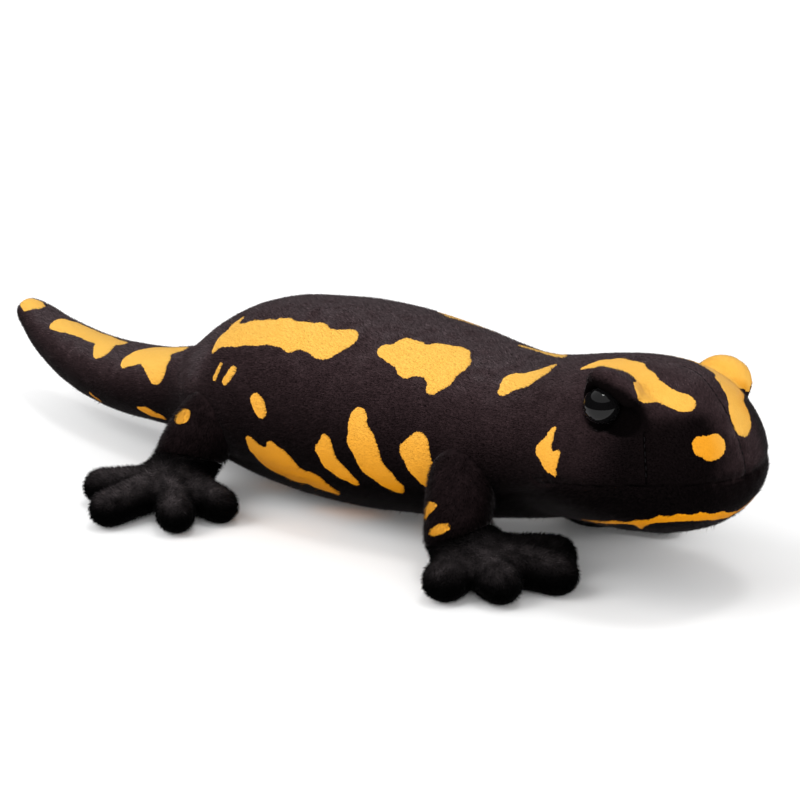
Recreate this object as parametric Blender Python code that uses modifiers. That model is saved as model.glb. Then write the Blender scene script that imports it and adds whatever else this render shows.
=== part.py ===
"""A stuffed toy fire salamander, standing on its four feet.

Metres. +X runs toward the head, +Y is the toy's own left, +Z is up, and the floor is at Z = 0.
The body is one stuffed tube from the tip of the tail to the snout. It is parted where the toy's
panels meet: tail, trunk, neck, head and lower jaw. Legs, feet, lids and eyes are added to it.
"""

import math

import bmesh
import bpy
from mathutils import Matrix, Vector

MM = 0.001
GAP = 0.3  # mm left between neighbouring pieces

# Stations of the body, in mm: x, y, height of the middle, half width, rise above it, drop below it.
TAIL = [
    (-181.3, 25.5, 36.0, 2.8, 2.8, 2.8),
    (-178.3, 25.0, 35.0, 5.4, 5.4, 5.4),
    (-171.3, 23.5, 32.8, 7.0, 7.0, 7.0),
    (-160.3, 20.0, 29.6, 8.9, 8.9, 8.9),
    (-144.3, 15.0, 26.4, 11.0, 10.8, 10.8),
    (-124.3, 9.0, 24.8, 12.8, 12.4, 12.4),
    (-102.3, 4.0, 24.8, 14.5, 13.8, 13.8),
    (-82.3, 1.0, 26.2, 15.5, 14.5, 14.5),
    (-66.3, 0.0, 28.5, 16.5, 15.5, 15.5),
]
TRUNK = [
    (-54.3, 0.0, 30.0, 18.5, 16.5, 18.0),
    (-41.3, 0.0, 33.0, 26.5, 23.5, 25.0),
    (-26.3, 0.0, 36.5, 33.5, 30.5, 31.5),
    (-9.3, 0.0, 38.5, 37.0, 35.0, 35.5),
    (13.7, 0.0, 39.8, 39.0, 37.0, 37.2),
    (37.7, 0.0, 40.5, 38.5, 36.8, 37.2),
    (60.7, 0.0, 41.0, 35.5, 34.0, 35.0),
]
NECK = [
    (81.7, 0.0, 41.5, 32.0, 30.0, 31.0),
    (99.7, 0.0, 42.0, 31.0, 28.0, 28.0),
]
HEAD = [
    (113.7, -0.2, 43.5, 33.0, 28.5, 25.0),
    (127.7, -0.9, 44.0, 36.5, 32.5, 23.5),
    (142.7, -2.4, 44.5, 38.0, 34.5, 22.5),
    (156.7, -4.0, 45.0, 36.5, 34.0, 21.0),
    (167.7, -5.4, 45.0, 32.0, 29.0, 19.0),
    (175.7, -6.5, 45.0, 25.0, 21.0, 15.5),
    (181.2, -7.2, 45.0, 14.0, 10.0, 9.0),
]
BODY_SIDES = 16
BODY_SHRINK = 0.973  # subdividing a cage of this many sides draws it in to this share of its size

# Where the panels are parted: a point of the plane, and its normal, which points toward the head.
TAIL_CUT = ((-60.3, 0.0, 0.0), (1.0, 0.0, 0.10))
NECK_CUT = ((77.7, 0.0, 0.0), (1.0, 0.0, -0.25))
HEAD_CUT = ((112.7, 0.0, 0.0), (1.0, 0.0, 0.10))
MOUTH_CUT = ((0.0, 0.0, 44.5), (0.0, 0.0, 1.0))

# Stations of the right legs, in mm: x, y, z, radius. The left legs are their mirror images.
FRONT_LEG = [
    (82.7, -9.0, 37.5, 12.0),
    (85.7, -22.0, 35.5, 12.8),
    (89.7, -33.0, 29.5, 12.0),
    (91.7, -37.5, 20.0, 11.6),
    (93.2, -38.5, 7.0, 11.6),
]
HIND_LEG = [
    (-23.3, -8.0, 36.0, 13.0),
    (-25.3, -19.5, 33.5, 14.0),
    (-29.3, -29.0, 26.5, 13.4),
    (-32.8, -34.5, 18.5, 12.4),
    (-35.3, -37.0, 7.0, 12.4),
]
LEG_SIDES = 10
LEG_SHRINK = 0.94
ANKLE = 16.5  # height where a leg ends and its foot begins, at the middle of the leg
ANKLE_SLOPE = 0.45  # how steeply that cut rises toward the toes

# The right feet: the middle of the palm, and the middle of the ball at the end of each toe.
FRONT_PALM = (98.7, -37.0)
FRONT_TOES = [(101.2, -56.3), (117.2, -47.3), (127.2, -28.8), (117.2, -15.5)]
FRONT_TOE_RADIUS = 7.8
LEFT_FRONT_SPLAY = 62.0  # degrees that the left front foot is turned outward
HIND_PALM = (-32.3, -43.5)
HIND_TOES = [(-54.3, -58.2), (-35.3, -74.3), (-12.3, -64.0), (-7.0, -46.5)]
HIND_TOE_RADIUS = 7.2
PALM_RADIUS = 15.0
PALM_EXTRA_HEIGHT = 3.0
TOE_TAPER = 1.12  # a toe's radius at the palm, as a share of its radius at the tip
ROOT_LIFT = 2.2  # how much higher a toe's root and the palm are than its tip
SOLE_PRESS = 0.6  # how far the round toes are pressed flat by the floor

# The eyes: plastic balls on the outsides of two stuffed lids. The head leans to the toy's left.
LID_MIDDLE = (150.5, 0.0, 68.0)
LID_SPREAD = (4.6, 26.5, -2.8)  # from between the lids to the left one, and back to the right one
LID_HALF = (11.0, 9.5, 10.5)
EYE_FROM_LID = (-1.1, 5.3, -1.0)  # forward, outward and up from the middle of the lid
EYE_RADIUS = 6.0

BLACK_PLUSH = (0.020, 0.018, 0.018)
FOOT_PLUSH = (0.014, 0.014, 0.016)
EYE_PLASTIC = (0.006, 0.006, 0.007)


def clear_scene():
    for obj in list(bpy.data.objects):
        bpy.data.objects.remove(obj, do_unlink=True)


def collection(name):
    found = bpy.data.collections.new(name)
    bpy.context.scene.collection.children.link(found)
    return found


def material(name, colour, roughness):
    mat = bpy.data.materials.new(name)
    mat.use_nodes = True
    shader = mat.node_tree.nodes["Principled BSDF"]
    shader.inputs["Base Color"].default_value = (*colour, 1.0)
    shader.inputs["Roughness"].default_value = roughness
    shader.inputs["Metallic"].default_value = 0.0
    mat.diffuse_color = (*colour, 1.0)
    return mat


def add(name, bm, where, mat=None):
    """A new object of this mesh, shaded smooth, with its faces turned outward."""
    bmesh.ops.recalc_face_normals(bm, faces=bm.faces)
    for face in bm.faces:
        face.smooth = True
    mesh = bpy.data.meshes.new(name)
    bm.to_mesh(mesh)
    bm.free()
    if mat:
        mesh.materials.append(mat)
    obj = bpy.data.objects.new(name, mesh)
    where.objects.link(obj)
    return obj


def subdivide(obj):
    smooth = obj.modifiers.new("smooth", "SUBSURF")
    smooth.levels = smooth.render_levels = 1


def boolean(obj, operation, other):
    change = obj.modifiers.new(operation.lower(), "BOOLEAN")
    change.operation, change.object, change.solver = operation, other, "EXACT"


def applied(obj):
    """The object's mesh as its modifiers leave it, as a bmesh."""
    bpy.context.view_layer.update()
    graph = bpy.context.evaluated_depsgraph_get()
    bm = bmesh.new()
    bm.from_mesh(obj.evaluated_get(graph).to_mesh())
    return bm


def section_at(centre, heading):
    """The matrix of a cross-section: X across, Y up, Z along the heading."""
    along = heading.normalized()
    across = Vector((0, 0, 1)).cross(along).normalized()
    turn = Matrix((across, along.cross(across), along)).transposed().to_4x4()
    return Matrix.Translation(centre) @ turn


def edges_within(verts):
    chosen = set(verts)
    return list({edge for vert in verts for edge in vert.link_edges if edge.other_vert(vert) in chosen})


def tube(stations, sides):
    """A closed cage through the stations (centre, half width, rise, drop), given in mm."""
    bm = bmesh.new()
    rings = []
    for i, (centre, width, rise, drop) in enumerate(stations):
        before = stations[max(i - 1, 0)][0]
        after = stations[min(i + 1, len(stations) - 1)][0]
        place = section_at(centre, after - before)
        ring = bmesh.ops.create_circle(bm, segments=sides, radius=1.0)["verts"]
        for vert in ring:
            height = rise if vert.co.y > 0 else drop
            vert.co = place @ Vector((vert.co.x * width, vert.co.y * height, 0))
        rings.append(ring)
    for first, second in zip(rings, rings[1:]):
        bmesh.ops.bridge_loops(bm, edges=edges_within(first) + edges_within(second))
    for ring in (rings[0], rings[-1]):
        bmesh.ops.edgeloop_fill(bm, edges=edges_within(ring))
    bmesh.ops.scale(bm, vec=(MM, MM, MM), verts=bm.verts)
    return bm


def body_cage(grow=0.0):
    stations = []
    for x, y, z, *sizes in TAIL + TRUNK + NECK + HEAD:
        stations.append((Vector((x, y, z)), *[(size + grow) / BODY_SHRINK for size in sizes]))
    return tube(stations, BODY_SIDES)


def leg_cage(stations, side):
    sized = [(Vector((x, y * side, z)), radius / LEG_SHRINK) for x, y, z, radius in stations]
    return tube([(centre, size, size, size) for centre, size in sized], LEG_SIDES)


def ellipsoid(centre, half, segments, rings):
    bm = bmesh.new()
    bmesh.ops.create_uvsphere(bm, u_segments=segments, v_segments=rings, radius=MM)
    bmesh.ops.scale(bm, vec=half, verts=bm.verts)
    bmesh.ops.translate(bm, vec=Vector(centre) * MM, verts=bm.verts)
    return bm


def finger(start, end, start_radius, end_radius):
    """A round-ended toe: a sphere at its end, whose rear half is drawn back to its start."""
    bm = bmesh.new()
    ball = bmesh.ops.create_uvsphere(bm, u_segments=10, v_segments=8, radius=1.0)["verts"]
    place = section_at(end, end - start)
    for vert in ball:
        if vert.co.z > -0.01:
            vert.co = place @ (vert.co * end_radius)
        else:
            vert.co = place @ (vert.co * start_radius - Vector((0, 0, (end - start).length)))
    bmesh.ops.scale(bm, vec=(MM, MM, MM), verts=bm.verts)
    return bm


def cut_off(bm, plane, keep_ahead):
    """Removes what lies behind the plane (or ahead of it), half a gap clear, and closes the cut."""
    point, normal = Vector(plane[0]), Vector(plane[1]).normalized() * (1 if keep_ahead else -1)
    everything = bm.verts[:] + bm.edges[:] + bm.faces[:]
    cut = bmesh.ops.bisect_plane(
        bm, geom=everything, plane_co=(point + normal * GAP / 2) * MM, plane_no=normal, clear_inner=True
    )
    edges = [item for item in cut["geom_cut"] if isinstance(item, bmesh.types.BMEdge)]
    bmesh.ops.edgeloop_fill(bm, edges=edges)


def body_panels(toy, cutters, mat):
    """The tail, trunk, neck, head and lower jaw, each a slice of the one body."""
    whole = add("whole_body", body_cage(), cutters)
    subdivide(whole)
    slices = {
        "tail": [(TAIL_CUT, False)],
        "trunk": [(TAIL_CUT, True), (NECK_CUT, False)],
        "neck": [(NECK_CUT, True), (HEAD_CUT, False)],
        "head": [(HEAD_CUT, True), (MOUTH_CUT, True)],
        "lower_jaw": [(HEAD_CUT, True), (MOUTH_CUT, False)],
    }
    for name, cuts in slices.items():
        bm = applied(whole)
        for plane, keep_ahead in cuts:
            cut_off(bm, plane, keep_ahead)
        add(name, bm, toy, mat)


def ankle_cut(stations, side, palm, toes):
    """The plane between a leg and its foot. It rises toward the middle of the toes."""
    x, y = [sum(toe[k] for toe in toes) / len(toes) - palm[k] for k in (0, 1)]
    ahead = Vector((x, y * side, 0)).normalized() * -ANKLE_SLOPE
    return (stations[-1][0], stations[-1][1] * side, ANKLE), (ahead.x, ahead.y, 1.0)


def foot(name, palm, toes, radius, side, leg, cut, toy, cutters, mat):
    """Toes grown together at a padded palm and round the ankle, pressed flat on the floor."""
    height = radius - SOLE_PRESS
    middle = Vector((palm[0], palm[1] * side, height + ROOT_LIFT))
    half = (PALM_RADIUS, PALM_RADIUS, radius + PALM_EXTRA_HEIGHT)
    whole = add(f"{name}_whole", ellipsoid(middle, half, 14, 8), cutters)
    for i, (x, y) in enumerate(toes):
        toe = finger(middle, Vector((x, y * side, height)), radius * TOE_TAPER, radius)
        boolean(whole, "UNION", add(f"{name}_toe_{i}", toe, cutters))
    boolean(whole, "UNION", leg)
    bm = applied(whole)
    cut_off(bm, ((0, 0, -GAP / 2), (0, 0, 1)), True)
    cut_off(bm, cut, False)
    add(name, bm, toy, mat)


def limb(name, side_name, side, stations, palm, toes, radius, toy, cutters, mats):
    """A foot, and its leg cut to the flank of the body."""
    whole = add(f"{name}_leg_whole_{side_name}", leg_cage(stations, side), cutters)
    subdivide(whole)
    cut = ankle_cut(stations, side, palm, toes)
    foot(f"{name}_foot_{side_name}", palm, toes, radius, side, whole, cut, toy, cutters, mats["foot"])
    bm = applied(whole)
    cut_off(bm, cut, True)
    leg = add(f"{name}_leg_{side_name}", bm, toy, mats["body"])
    boolean(leg, "DIFFERENCE", bpy.data.objects["body_clearance"])


def turned(point, pivot, degrees):
    """The point turned about the pivot, as seen from above."""
    return Matrix.Rotation(math.radians(degrees), 2) @ (Vector(point) - Vector(pivot)) + Vector(pivot)


def eye_and_lid(side_name, side, toy, cutters, mats):
    """A plastic ball sunk in a stuffed lid, which stands on the head and hoods it."""
    lid_middle = Vector(LID_MIDDLE) - Vector(LID_SPREAD) * side
    forward, outward, up = EYE_FROM_LID
    eye_middle = lid_middle + Vector((forward, -outward * side, up))
    around = [EYE_RADIUS + GAP] * 3
    socket = add(f"socket_{side_name}", ellipsoid(eye_middle, around, 16, 8), cutters)
    add(f"eye_{side_name}", ellipsoid(eye_middle, [EYE_RADIUS] * 3, 16, 8), toy, mats["eye"])
    lid = add(f"lid_{side_name}", ellipsoid(lid_middle, LID_HALF, 16, 10), toy, mats["body"])
    boolean(lid, "DIFFERENCE", bpy.data.objects["body_clearance"])
    boolean(lid, "DIFFERENCE", socket)
    boolean(bpy.data.objects["head"], "DIFFERENCE", socket)


def main():
    clear_scene()
    toy = collection("stuffed_fire_salamander")
    cutters = collection("cutters")
    mats = {
        "body": material("black_plush", BLACK_PLUSH, 0.95),
        "foot": material("foot_plush", FOOT_PLUSH, 0.95),
        "eye": material("black_plastic", EYE_PLASTIC, 0.12),
    }
    subdivide(add("body_clearance", body_cage(GAP * 1.3), cutters))
    body_panels(toy, cutters, mats["body"])
    for side_name, side in (("right", 1), ("left", -1)):
        splay = LEFT_FRONT_SPLAY if side_name == "left" else 0.0
        toes = [turned(toe, FRONT_PALM, -splay) for toe in FRONT_TOES]
        limb("front", side_name, side, FRONT_LEG, FRONT_PALM, toes, FRONT_TOE_RADIUS, toy, cutters, mats)
        limb("hind", side_name, side, HIND_LEG, HIND_PALM, HIND_TOES, HIND_TOE_RADIUS, toy, cutters, mats)
        eye_and_lid(side_name, side, toy, cutters, mats)
    for obj in cutters.objects:
        obj.hide_render = True
        obj.display_type = "WIRE"
    cutters.hide_render = True


main()
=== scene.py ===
import functools
import math

import bmesh
import bpy
import numpy as np
from mathutils import Matrix, Vector, noise
from mathutils.bvhtree import BVHTree


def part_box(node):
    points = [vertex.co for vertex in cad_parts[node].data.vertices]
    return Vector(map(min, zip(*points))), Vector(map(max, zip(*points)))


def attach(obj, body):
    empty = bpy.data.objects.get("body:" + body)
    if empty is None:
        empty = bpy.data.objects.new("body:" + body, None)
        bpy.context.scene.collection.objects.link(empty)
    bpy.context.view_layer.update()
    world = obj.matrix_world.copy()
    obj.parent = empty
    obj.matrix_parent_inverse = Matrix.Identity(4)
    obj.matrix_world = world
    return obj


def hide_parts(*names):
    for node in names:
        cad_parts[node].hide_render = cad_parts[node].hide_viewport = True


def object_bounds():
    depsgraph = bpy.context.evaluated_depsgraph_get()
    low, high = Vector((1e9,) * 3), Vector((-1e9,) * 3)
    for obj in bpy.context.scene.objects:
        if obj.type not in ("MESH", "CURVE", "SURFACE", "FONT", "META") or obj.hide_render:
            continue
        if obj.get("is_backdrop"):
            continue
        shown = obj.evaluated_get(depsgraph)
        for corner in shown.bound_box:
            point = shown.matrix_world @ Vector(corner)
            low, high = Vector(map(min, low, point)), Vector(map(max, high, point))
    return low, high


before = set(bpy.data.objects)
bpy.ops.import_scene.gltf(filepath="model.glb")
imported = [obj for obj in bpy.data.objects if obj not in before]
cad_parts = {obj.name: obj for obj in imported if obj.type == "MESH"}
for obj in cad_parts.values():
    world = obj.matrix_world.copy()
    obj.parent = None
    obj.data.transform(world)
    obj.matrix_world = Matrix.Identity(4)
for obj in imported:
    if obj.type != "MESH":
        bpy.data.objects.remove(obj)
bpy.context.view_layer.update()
MM = 0.001

# %% [markdown]
# ## The body's own stations
# The body is one long cushion, so it is modelled as rings along a middle line. Each row is a ring
# in millimetres: where its middle is (x, y, z), its half width, how far it rises and how far it
# drops. A table of rings could be drawn as a curve with a bevel, but then top and bottom could not
# differ, and a toy's back and belly do.
# %% Body stations
TAIL_RINGS = [
    (-181.3, 25.5, 36.0, 2.8, 2.8, 2.8), (-178.3, 25.0, 35.0, 5.4, 5.4, 5.4),
    (-171.3, 23.5, 32.8, 7.0, 7.0, 7.0), (-160.3, 20.0, 29.6, 8.9, 8.9, 8.9),
    (-144.3, 15.0, 26.4, 11.0, 10.8, 10.8), (-124.3, 9.0, 24.8, 12.8, 12.4, 12.4),
    (-102.3, 4.0, 24.8, 14.5, 13.8, 13.8), (-82.3, 1.0, 26.2, 15.5, 14.5, 14.5),
    (-66.3, 0.0, 28.5, 16.5, 15.5, 15.5),
]
TRUNK_RINGS = [
    (-54.3, 0.0, 30.0, 18.5, 16.5, 18.0), (-41.3, 0.0, 33.0, 26.5, 23.5, 25.0),
    (-26.3, 0.0, 36.5, 33.5, 30.5, 31.5), (-9.3, 0.0, 38.5, 37.0, 35.0, 35.5),
    (13.7, 0.0, 39.8, 39.0, 37.0, 37.2), (37.7, 0.0, 40.5, 38.5, 36.8, 37.2),
    (60.7, 0.0, 41.0, 35.5, 34.0, 35.0), (81.7, 0.0, 41.5, 32.0, 30.0, 31.0),
    (99.7, 0.0, 42.0, 31.0, 28.0, 28.0),
]
HEAD_RINGS = [
    (113.7, -0.2, 43.5, 33.0, 28.5, 25.0), (127.7, -0.9, 44.0, 36.5, 32.5, 23.5),
    (142.7, -2.4, 44.5, 38.0, 34.5, 22.5), (156.7, -4.0, 45.0, 36.5, 34.0, 21.0),
    (167.7, -5.4, 45.0, 32.0, 29.0, 19.0), (175.7, -6.5, 45.0, 25.0, 21.0, 15.5),
    (181.2, -7.2, 45.0, 14.0, 10.0, 9.0),
]
BODY_RINGS = TAIL_RINGS + TRUNK_RINGS + HEAD_RINGS
RING_TABLE = np.array(BODY_RINGS)
PILE_DEPTH = 0.6  # mm from the cloth to the tips of the pile
SIDES = (("right", -1), ("left", 1))  # each side's name, and the sign of its y


def middle_at(x):
    """The middle line's y and z at these x, in mm."""
    return [np.interp(x, RING_TABLE[:, 0], RING_TABLE[:, column]) for column in (1, 2)]


def turn_of(points):
    """How far round the body each point lies: degrees from the top, positive toward the toy's right."""
    y, z = middle_at(points[:, 0])
    return np.degrees(np.arctan2(y - points[:, 1], points[:, 2] - z))


print("body rings", len(BODY_RINGS))

# %% [markdown]
# ## Rings, tubes and balls
# A stuffed limb or body starts as circles placed across its middle line and bridged to each other.
# Round bits such as palms and lids start as balls. A Subdivision Surface smooths them, because
# stuffing rounds everything off.
# %% Rings, tubes and balls
BALL_AROUND, BALL_UP = 32, 20  # faces round a ball, and from pole to pole


def section_at(centre, heading):
    """The matrix of a cross-section: X across, Y up, Z along the heading."""
    along = heading.normalized()
    across = Vector((0, 0, 1)).cross(along).normalized()
    turn = Matrix((across, along.cross(across), along)).transposed().to_4x4()
    return Matrix.Translation(centre) @ turn


def edges_within(verts):
    """The edges that join two of these points."""
    chosen = set(verts)
    return list({edge for vert in verts for edge in vert.link_edges if edge.other_vert(vert) in chosen})


def tube(stations, sides, draw_in):
    """A closed tube through (centre, half width, rise, drop) in mm; draw_in makes up for smoothing."""
    bm = bmesh.new()
    rings = []
    for i, (centre, width, rise, drop) in enumerate(stations):
        heading = stations[min(i + 1, len(stations) - 1)][0] - stations[max(i - 1, 0)][0]
        ring = bmesh.ops.create_circle(bm, segments=sides, radius=1 / draw_in)["verts"]
        top = [vert for vert in ring if vert.co.y > 0]
        low = [vert for vert in ring if vert.co.y <= 0]
        bmesh.ops.scale(bm, vec=(width, rise, 1), verts=top)
        bmesh.ops.scale(bm, vec=(width, drop, 1), verts=low)
        bmesh.ops.transform(bm, matrix=section_at(centre, heading), verts=ring)
        rings.append(ring)
    for first, second in zip(rings, rings[1:]):
        bmesh.ops.bridge_loops(bm, edges=edges_within(first) + edges_within(second))
    for ring in (rings[0], rings[-1]):
        bmesh.ops.edgeloop_fill(bm, edges=edges_within(ring))
    bmesh.ops.scale(bm, vec=(MM, MM, MM), verts=bm.verts)
    return bm


def ball(bm, centre, half, around=BALL_AROUND, up=BALL_UP):
    """An ellipsoid of these half sizes, in mm, added to bm."""
    verts = bmesh.ops.create_uvsphere(bm, u_segments=around, v_segments=up, radius=MM)["verts"]
    bmesh.ops.scale(bm, vec=half, verts=verts)
    bmesh.ops.translate(bm, vec=Vector(centre) * MM, verts=verts)
    return verts


print("a ball has", BALL_AROUND * BALL_UP, "faces")

# %% [markdown]
# ## Pieces, cuts and melted joins
# A bmesh is only a drawing until it is written into a mesh and an object holds it. Modifiers do the
# sewing room's work: Subdivision Surface rounds, Boolean carves, and a voxel Remesh melts shapes
# that overlap into one skin. Each is put into the mesh at once, because the next step measures it.
# %% Piece helpers
SKIN_ROUNDS = 3  # rounds of smoothing where melted shapes meet


def add_object(name, data):
    obj = bpy.data.objects.new(name, data)
    bpy.context.scene.collection.objects.link(obj)
    return obj


def face_outward(bm):
    """Turns every face outward and shades it smooth."""
    bmesh.ops.recalc_face_normals(bm, faces=bm.faces)
    for face in bm.faces:
        face.smooth = True


def piece(name, bm):
    """A new object of this mesh."""
    face_outward(bm)
    mesh = bpy.data.meshes.new(name)
    bm.to_mesh(mesh)
    bm.free()
    return add_object(name, mesh)


def finish_modifiers(obj):
    """Puts what the modifiers make into the mesh itself, and takes them off."""
    bpy.context.view_layer.update()
    made = bpy.data.meshes.new_from_object(obj.evaluated_get(bpy.context.evaluated_depsgraph_get()))
    old, obj.data = obj.data, made
    obj.modifiers.clear()
    bpy.data.meshes.remove(old)
    made.name = obj.name


def subdivide(obj, levels):
    smooth = obj.modifiers.new("smooth", "SUBSURF")
    smooth.levels = smooth.render_levels = levels
    finish_modifiers(obj)


def carve(obj, cutter):
    cut = obj.modifiers.new("carve", "BOOLEAN")
    cut.operation, cut.object, cut.solver = "DIFFERENCE", cutter, "EXACT"
    finish_modifiers(obj)


def grow_together(obj, voxel):
    """Makes overlapping shapes one skin of even small faces, and softens where they meet."""
    remesh = obj.modifiers.new("one skin", "REMESH")
    remesh.mode, remesh.voxel_size, remesh.use_smooth_shade = "VOXEL", voxel * MM, True
    finish_modifiers(obj)
    bm = bmesh.new()
    bm.from_mesh(obj.data)
    every_way = {"use_axis_x": True, "use_axis_y": True, "use_axis_z": True}
    for _ in range(SKIN_ROUNDS):
        bmesh.ops.smooth_vert(bm, verts=bm.verts, factor=0.5, **every_way)
    face_outward(bm)
    bm.to_mesh(obj.data)
    bm.free()
    obj.data.update()


def drop_object(obj):
    bpy.data.objects.remove(obj, do_unlink=True)


def points_of(mesh, what="co"):
    flat = np.empty(len(mesh.vertices) * 3, np.float32)
    mesh.vertices.foreach_get(what, flat)
    return flat.reshape(-1, 3).astype(float)


def place_points(mesh, points):
    mesh.vertices.foreach_set("co", np.ascontiguousarray(points, np.float32).ravel())
    mesh.update()


print("melted joins are smoothed", SKIN_ROUNDS, "times")

# %% [markdown]
# ## Eyes, lids and hoods
# Each eye sits in a stuffed lid on the side of the head. The frame says where the eyes are, and the
# lids, the hollow in front of each eye and the padded hood above it are placed from there: so far
# forward, outward and up. A mirror modifier would give two equal sides, but the left hood and lid
# of the real toy are pressed a little flatter, so each side is made from the same few numbers.
# %% Places round the eyes
EYE_RADIUS = 6.0
EYE_FROM_LID = Vector((-1.1, 5.3, -1.0))  # forward, outward and up from the middle of the lid, in mm
LID_HALF = Vector((11.0, 9.5, 10.5))
SOCKET_RADIUS = 7.8
SOCKET_FROM_EYE = (-0.6, 0.5, 0.0)
HOLLOW_FROM_EYE = (4.6, 2.3, 0.2)  # forward, outward and up from the middle of the eye
HOLLOW_ALONG = (0.778, -0.417, -0.477)
HOLLOW_OUT = (0.587, 0.752, 0.301)
HOLLOW_HALF = (7.0, 7.5, 11.0)  # across, outward and along
DARK_HALF = (7.0, 7.5, 12.4)  # the part of the hollow that gets painted shade
DARK_RINGS_FROM_EYE = [(0.0, 0.0, 0.0), (-0.9, 0.0, 0.7)]
HOOD_BALLS = [  # forward, outward and up from the middle of the eye, and radius, in mm
    (-4.6, -2.8, 7.4, 2.8), (-2.0, -2.3, 8.8, 3.6), (1.4, -1.6, 8.4, 4.0), (5.9, -1.9, 6.6, 4.1),
    (8.3, -2.9, 4.2, 4.0), (10.2, -7.2, 0.9, 3.4),
]
LEFT_HOOD_SHARE = 0.74  # the left hood is pressed flatter
LEFT_LID_PRESSED = 0.8  # mm that the left lid is lower


def outward_of(side, offset):
    """An offset given as forward, outward and up, for this side of the toy."""
    forward, outward, up = offset
    return Vector((forward, outward * side, up))


eye_middle = {}
lid_middle = {}
for side_name, side in SIDES:
    low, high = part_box(f"eye_{side_name}")
    eye_middle[side_name] = (low + high) / 2 / MM
    lid_middle[side_name] = eye_middle[side_name] - outward_of(side, EYE_FROM_LID)
print("eyes at", [tuple(round(v, 1) for v in place) for place in eye_middle.values()])

# %% [markdown]
# ## The body cover
# On the toy the body, neck, head and both lids are sewn from one printed plush. So they become one
# cover here: the ringed body, with two balls for the stuffed lids let into the head. A socket and a
# shallow hollow below it are carved for each eye, and a row of small balls over the eye makes the
# padded hood that half hides it. A voxel remesh then melts body, lids and hoods into one skin.
# %% Body cover
TAIL_FILL = 0.9  # mm more stuffing toward the tip of the tail
TAIL_FILL_FROM, TAIL_FILL_OVER = -110.0, 50.0  # where it starts, and the length it grows over
THINNEST_RADIUS = 1.6
BODY_SIDES = 16
BODY_DRAW_IN = 0.966  # smoothing draws a 16-sided ring in to this share of its radius
BODY_VOXEL = 1.05


def hollow_axes(side):
    """The long ball's own axes: across, outward and along."""
    along, out = outward_of(side, HOLLOW_ALONG), outward_of(side, HOLLOW_OUT)
    return out.cross(along), out, along


def hollow(bm, middle, side):
    """A long ball below and in front of an eye."""
    verts = ball(bm, (0, 0, 0), HOLLOW_HALF)
    turn = Matrix(hollow_axes(side)).transposed().to_4x4()
    place = Matrix.Translation((middle + outward_of(side, HOLLOW_FROM_EYE)) * MM)
    bmesh.ops.transform(bm, matrix=place @ turn, verts=verts)


body_stations = []
for row in BODY_RINGS:
    fill = TAIL_FILL * min(max((TAIL_FILL_FROM - row[0]) / TAIL_FILL_OVER, 0), 1) - PILE_DEPTH
    body_stations.append((Vector(row[:3]), *[max(size + fill, THINNEST_RADIUS) for size in row[3:]]))
body_cover = piece("body_cover", tube(body_stations, BODY_SIDES, BODY_DRAW_IN))
subdivide(body_cover, 3)
lids_bm = bmesh.new()
sockets_bm = bmesh.new()
hollows_bm = bmesh.new()
hoods_bm = bmesh.new()
for side_name, side in SIDES:
    pressed, share = (LEFT_LID_PRESSED, LEFT_HOOD_SHARE) if side_name == "left" else (0.0, 1.0)
    eye = eye_middle[side_name]
    lid_half = LID_HALF - Vector([PILE_DEPTH] * 3) - Vector((0, 0, pressed))
    ball(lids_bm, lid_middle[side_name], lid_half)
    ball(sockets_bm, eye + outward_of(side, SOCKET_FROM_EYE), [SOCKET_RADIUS] * 3)
    hollow(hollows_bm, eye, side)
    for *offset, radius in HOOD_BALLS:
        ball(hoods_bm, eye + outward_of(side, offset) * share, [radius * share] * 3)
lids = piece("lids", lids_bm)
for cutter in (piece("sockets", sockets_bm), piece("hollows", hollows_bm)):
    carve(body_cover, cutter)
    carve(lids, cutter)
    drop_object(cutter)
joined = bmesh.new()
for part in (body_cover, lids, piece("hoods", hoods_bm)):
    joined.from_mesh(part.data)
    drop_object(part)
body_cover = piece("body_cover", joined)
grow_together(body_cover, BODY_VOXEL)
print("body cover faces", len(body_cover.data.polygons))

# %% [markdown]
# ## Legs and feet
# Each leg is a short sleeve sewn to the flank, and each foot is a mitten of a different, plain
# plush: a padded palm with four fat toes. The sleeve is a tube of rings, cut at the ankle by a
# plane that rises toward the toes. The foot is a ball for the palm and a long round-ended shape for
# each toe, melted together, so that the valleys between the toes stay soft. The left front foot is
# turned out, and its last toe is a little shorter.
# %% Leg and foot sizes
FRONT_LEG = [
    (82.7, -9.0, 37.5, 12.0), (85.7, -22.0, 35.5, 12.8), (89.7, -33.0, 29.5, 12.0),
    (91.7, -37.5, 20.0, 11.6), (93.2, -38.5, 7.0, 11.6),
]
HIND_LEG = [
    (-20.5, -8.0, 36.0, 13.0), (-22.8, -19.5, 33.8, 14.0), (-28.4, -29.0, 26.7, 13.6),
    (-32.8, -34.5, 18.5, 12.4), (-35.3, -37.0, 7.0, 12.4),
]
FRONT_PALM = (98.7, -37.0)
FRONT_TOES = [(101.2, -56.3), (117.2, -47.3), (127.2, -28.8), (117.2, -15.5)]
FRONT_TOE_RADIUS = 7.8  # to the tips of the pile
HIND_PALM = (-32.3, -43.5)
HIND_TOES = [(-54.3, -58.2), (-35.3, -74.3), (-12.3, -64.0), (-7.0, -46.5)]
HIND_TOE_RADIUS = 7.2
LEFT_FRONT_SPLAY = 62.0  # degrees that the left front foot is turned out
LEFT_TOE_SHORTER = 0.1  # share that its last toe is shorter
PALM_RADIUS = 15.0
PALM_EXTRA_HEIGHT = 3.0
TOE_TAPER = 1.12  # a toe's radius at the palm, as a share of its radius at the tip
ROOT_LIFT = 2.2  # how much higher a toe's root and the palm are than its tip
SOLE_PRESS = 0.6  # mm that a toe is pressed into the floor
LEG_SIDES = 10
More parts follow.
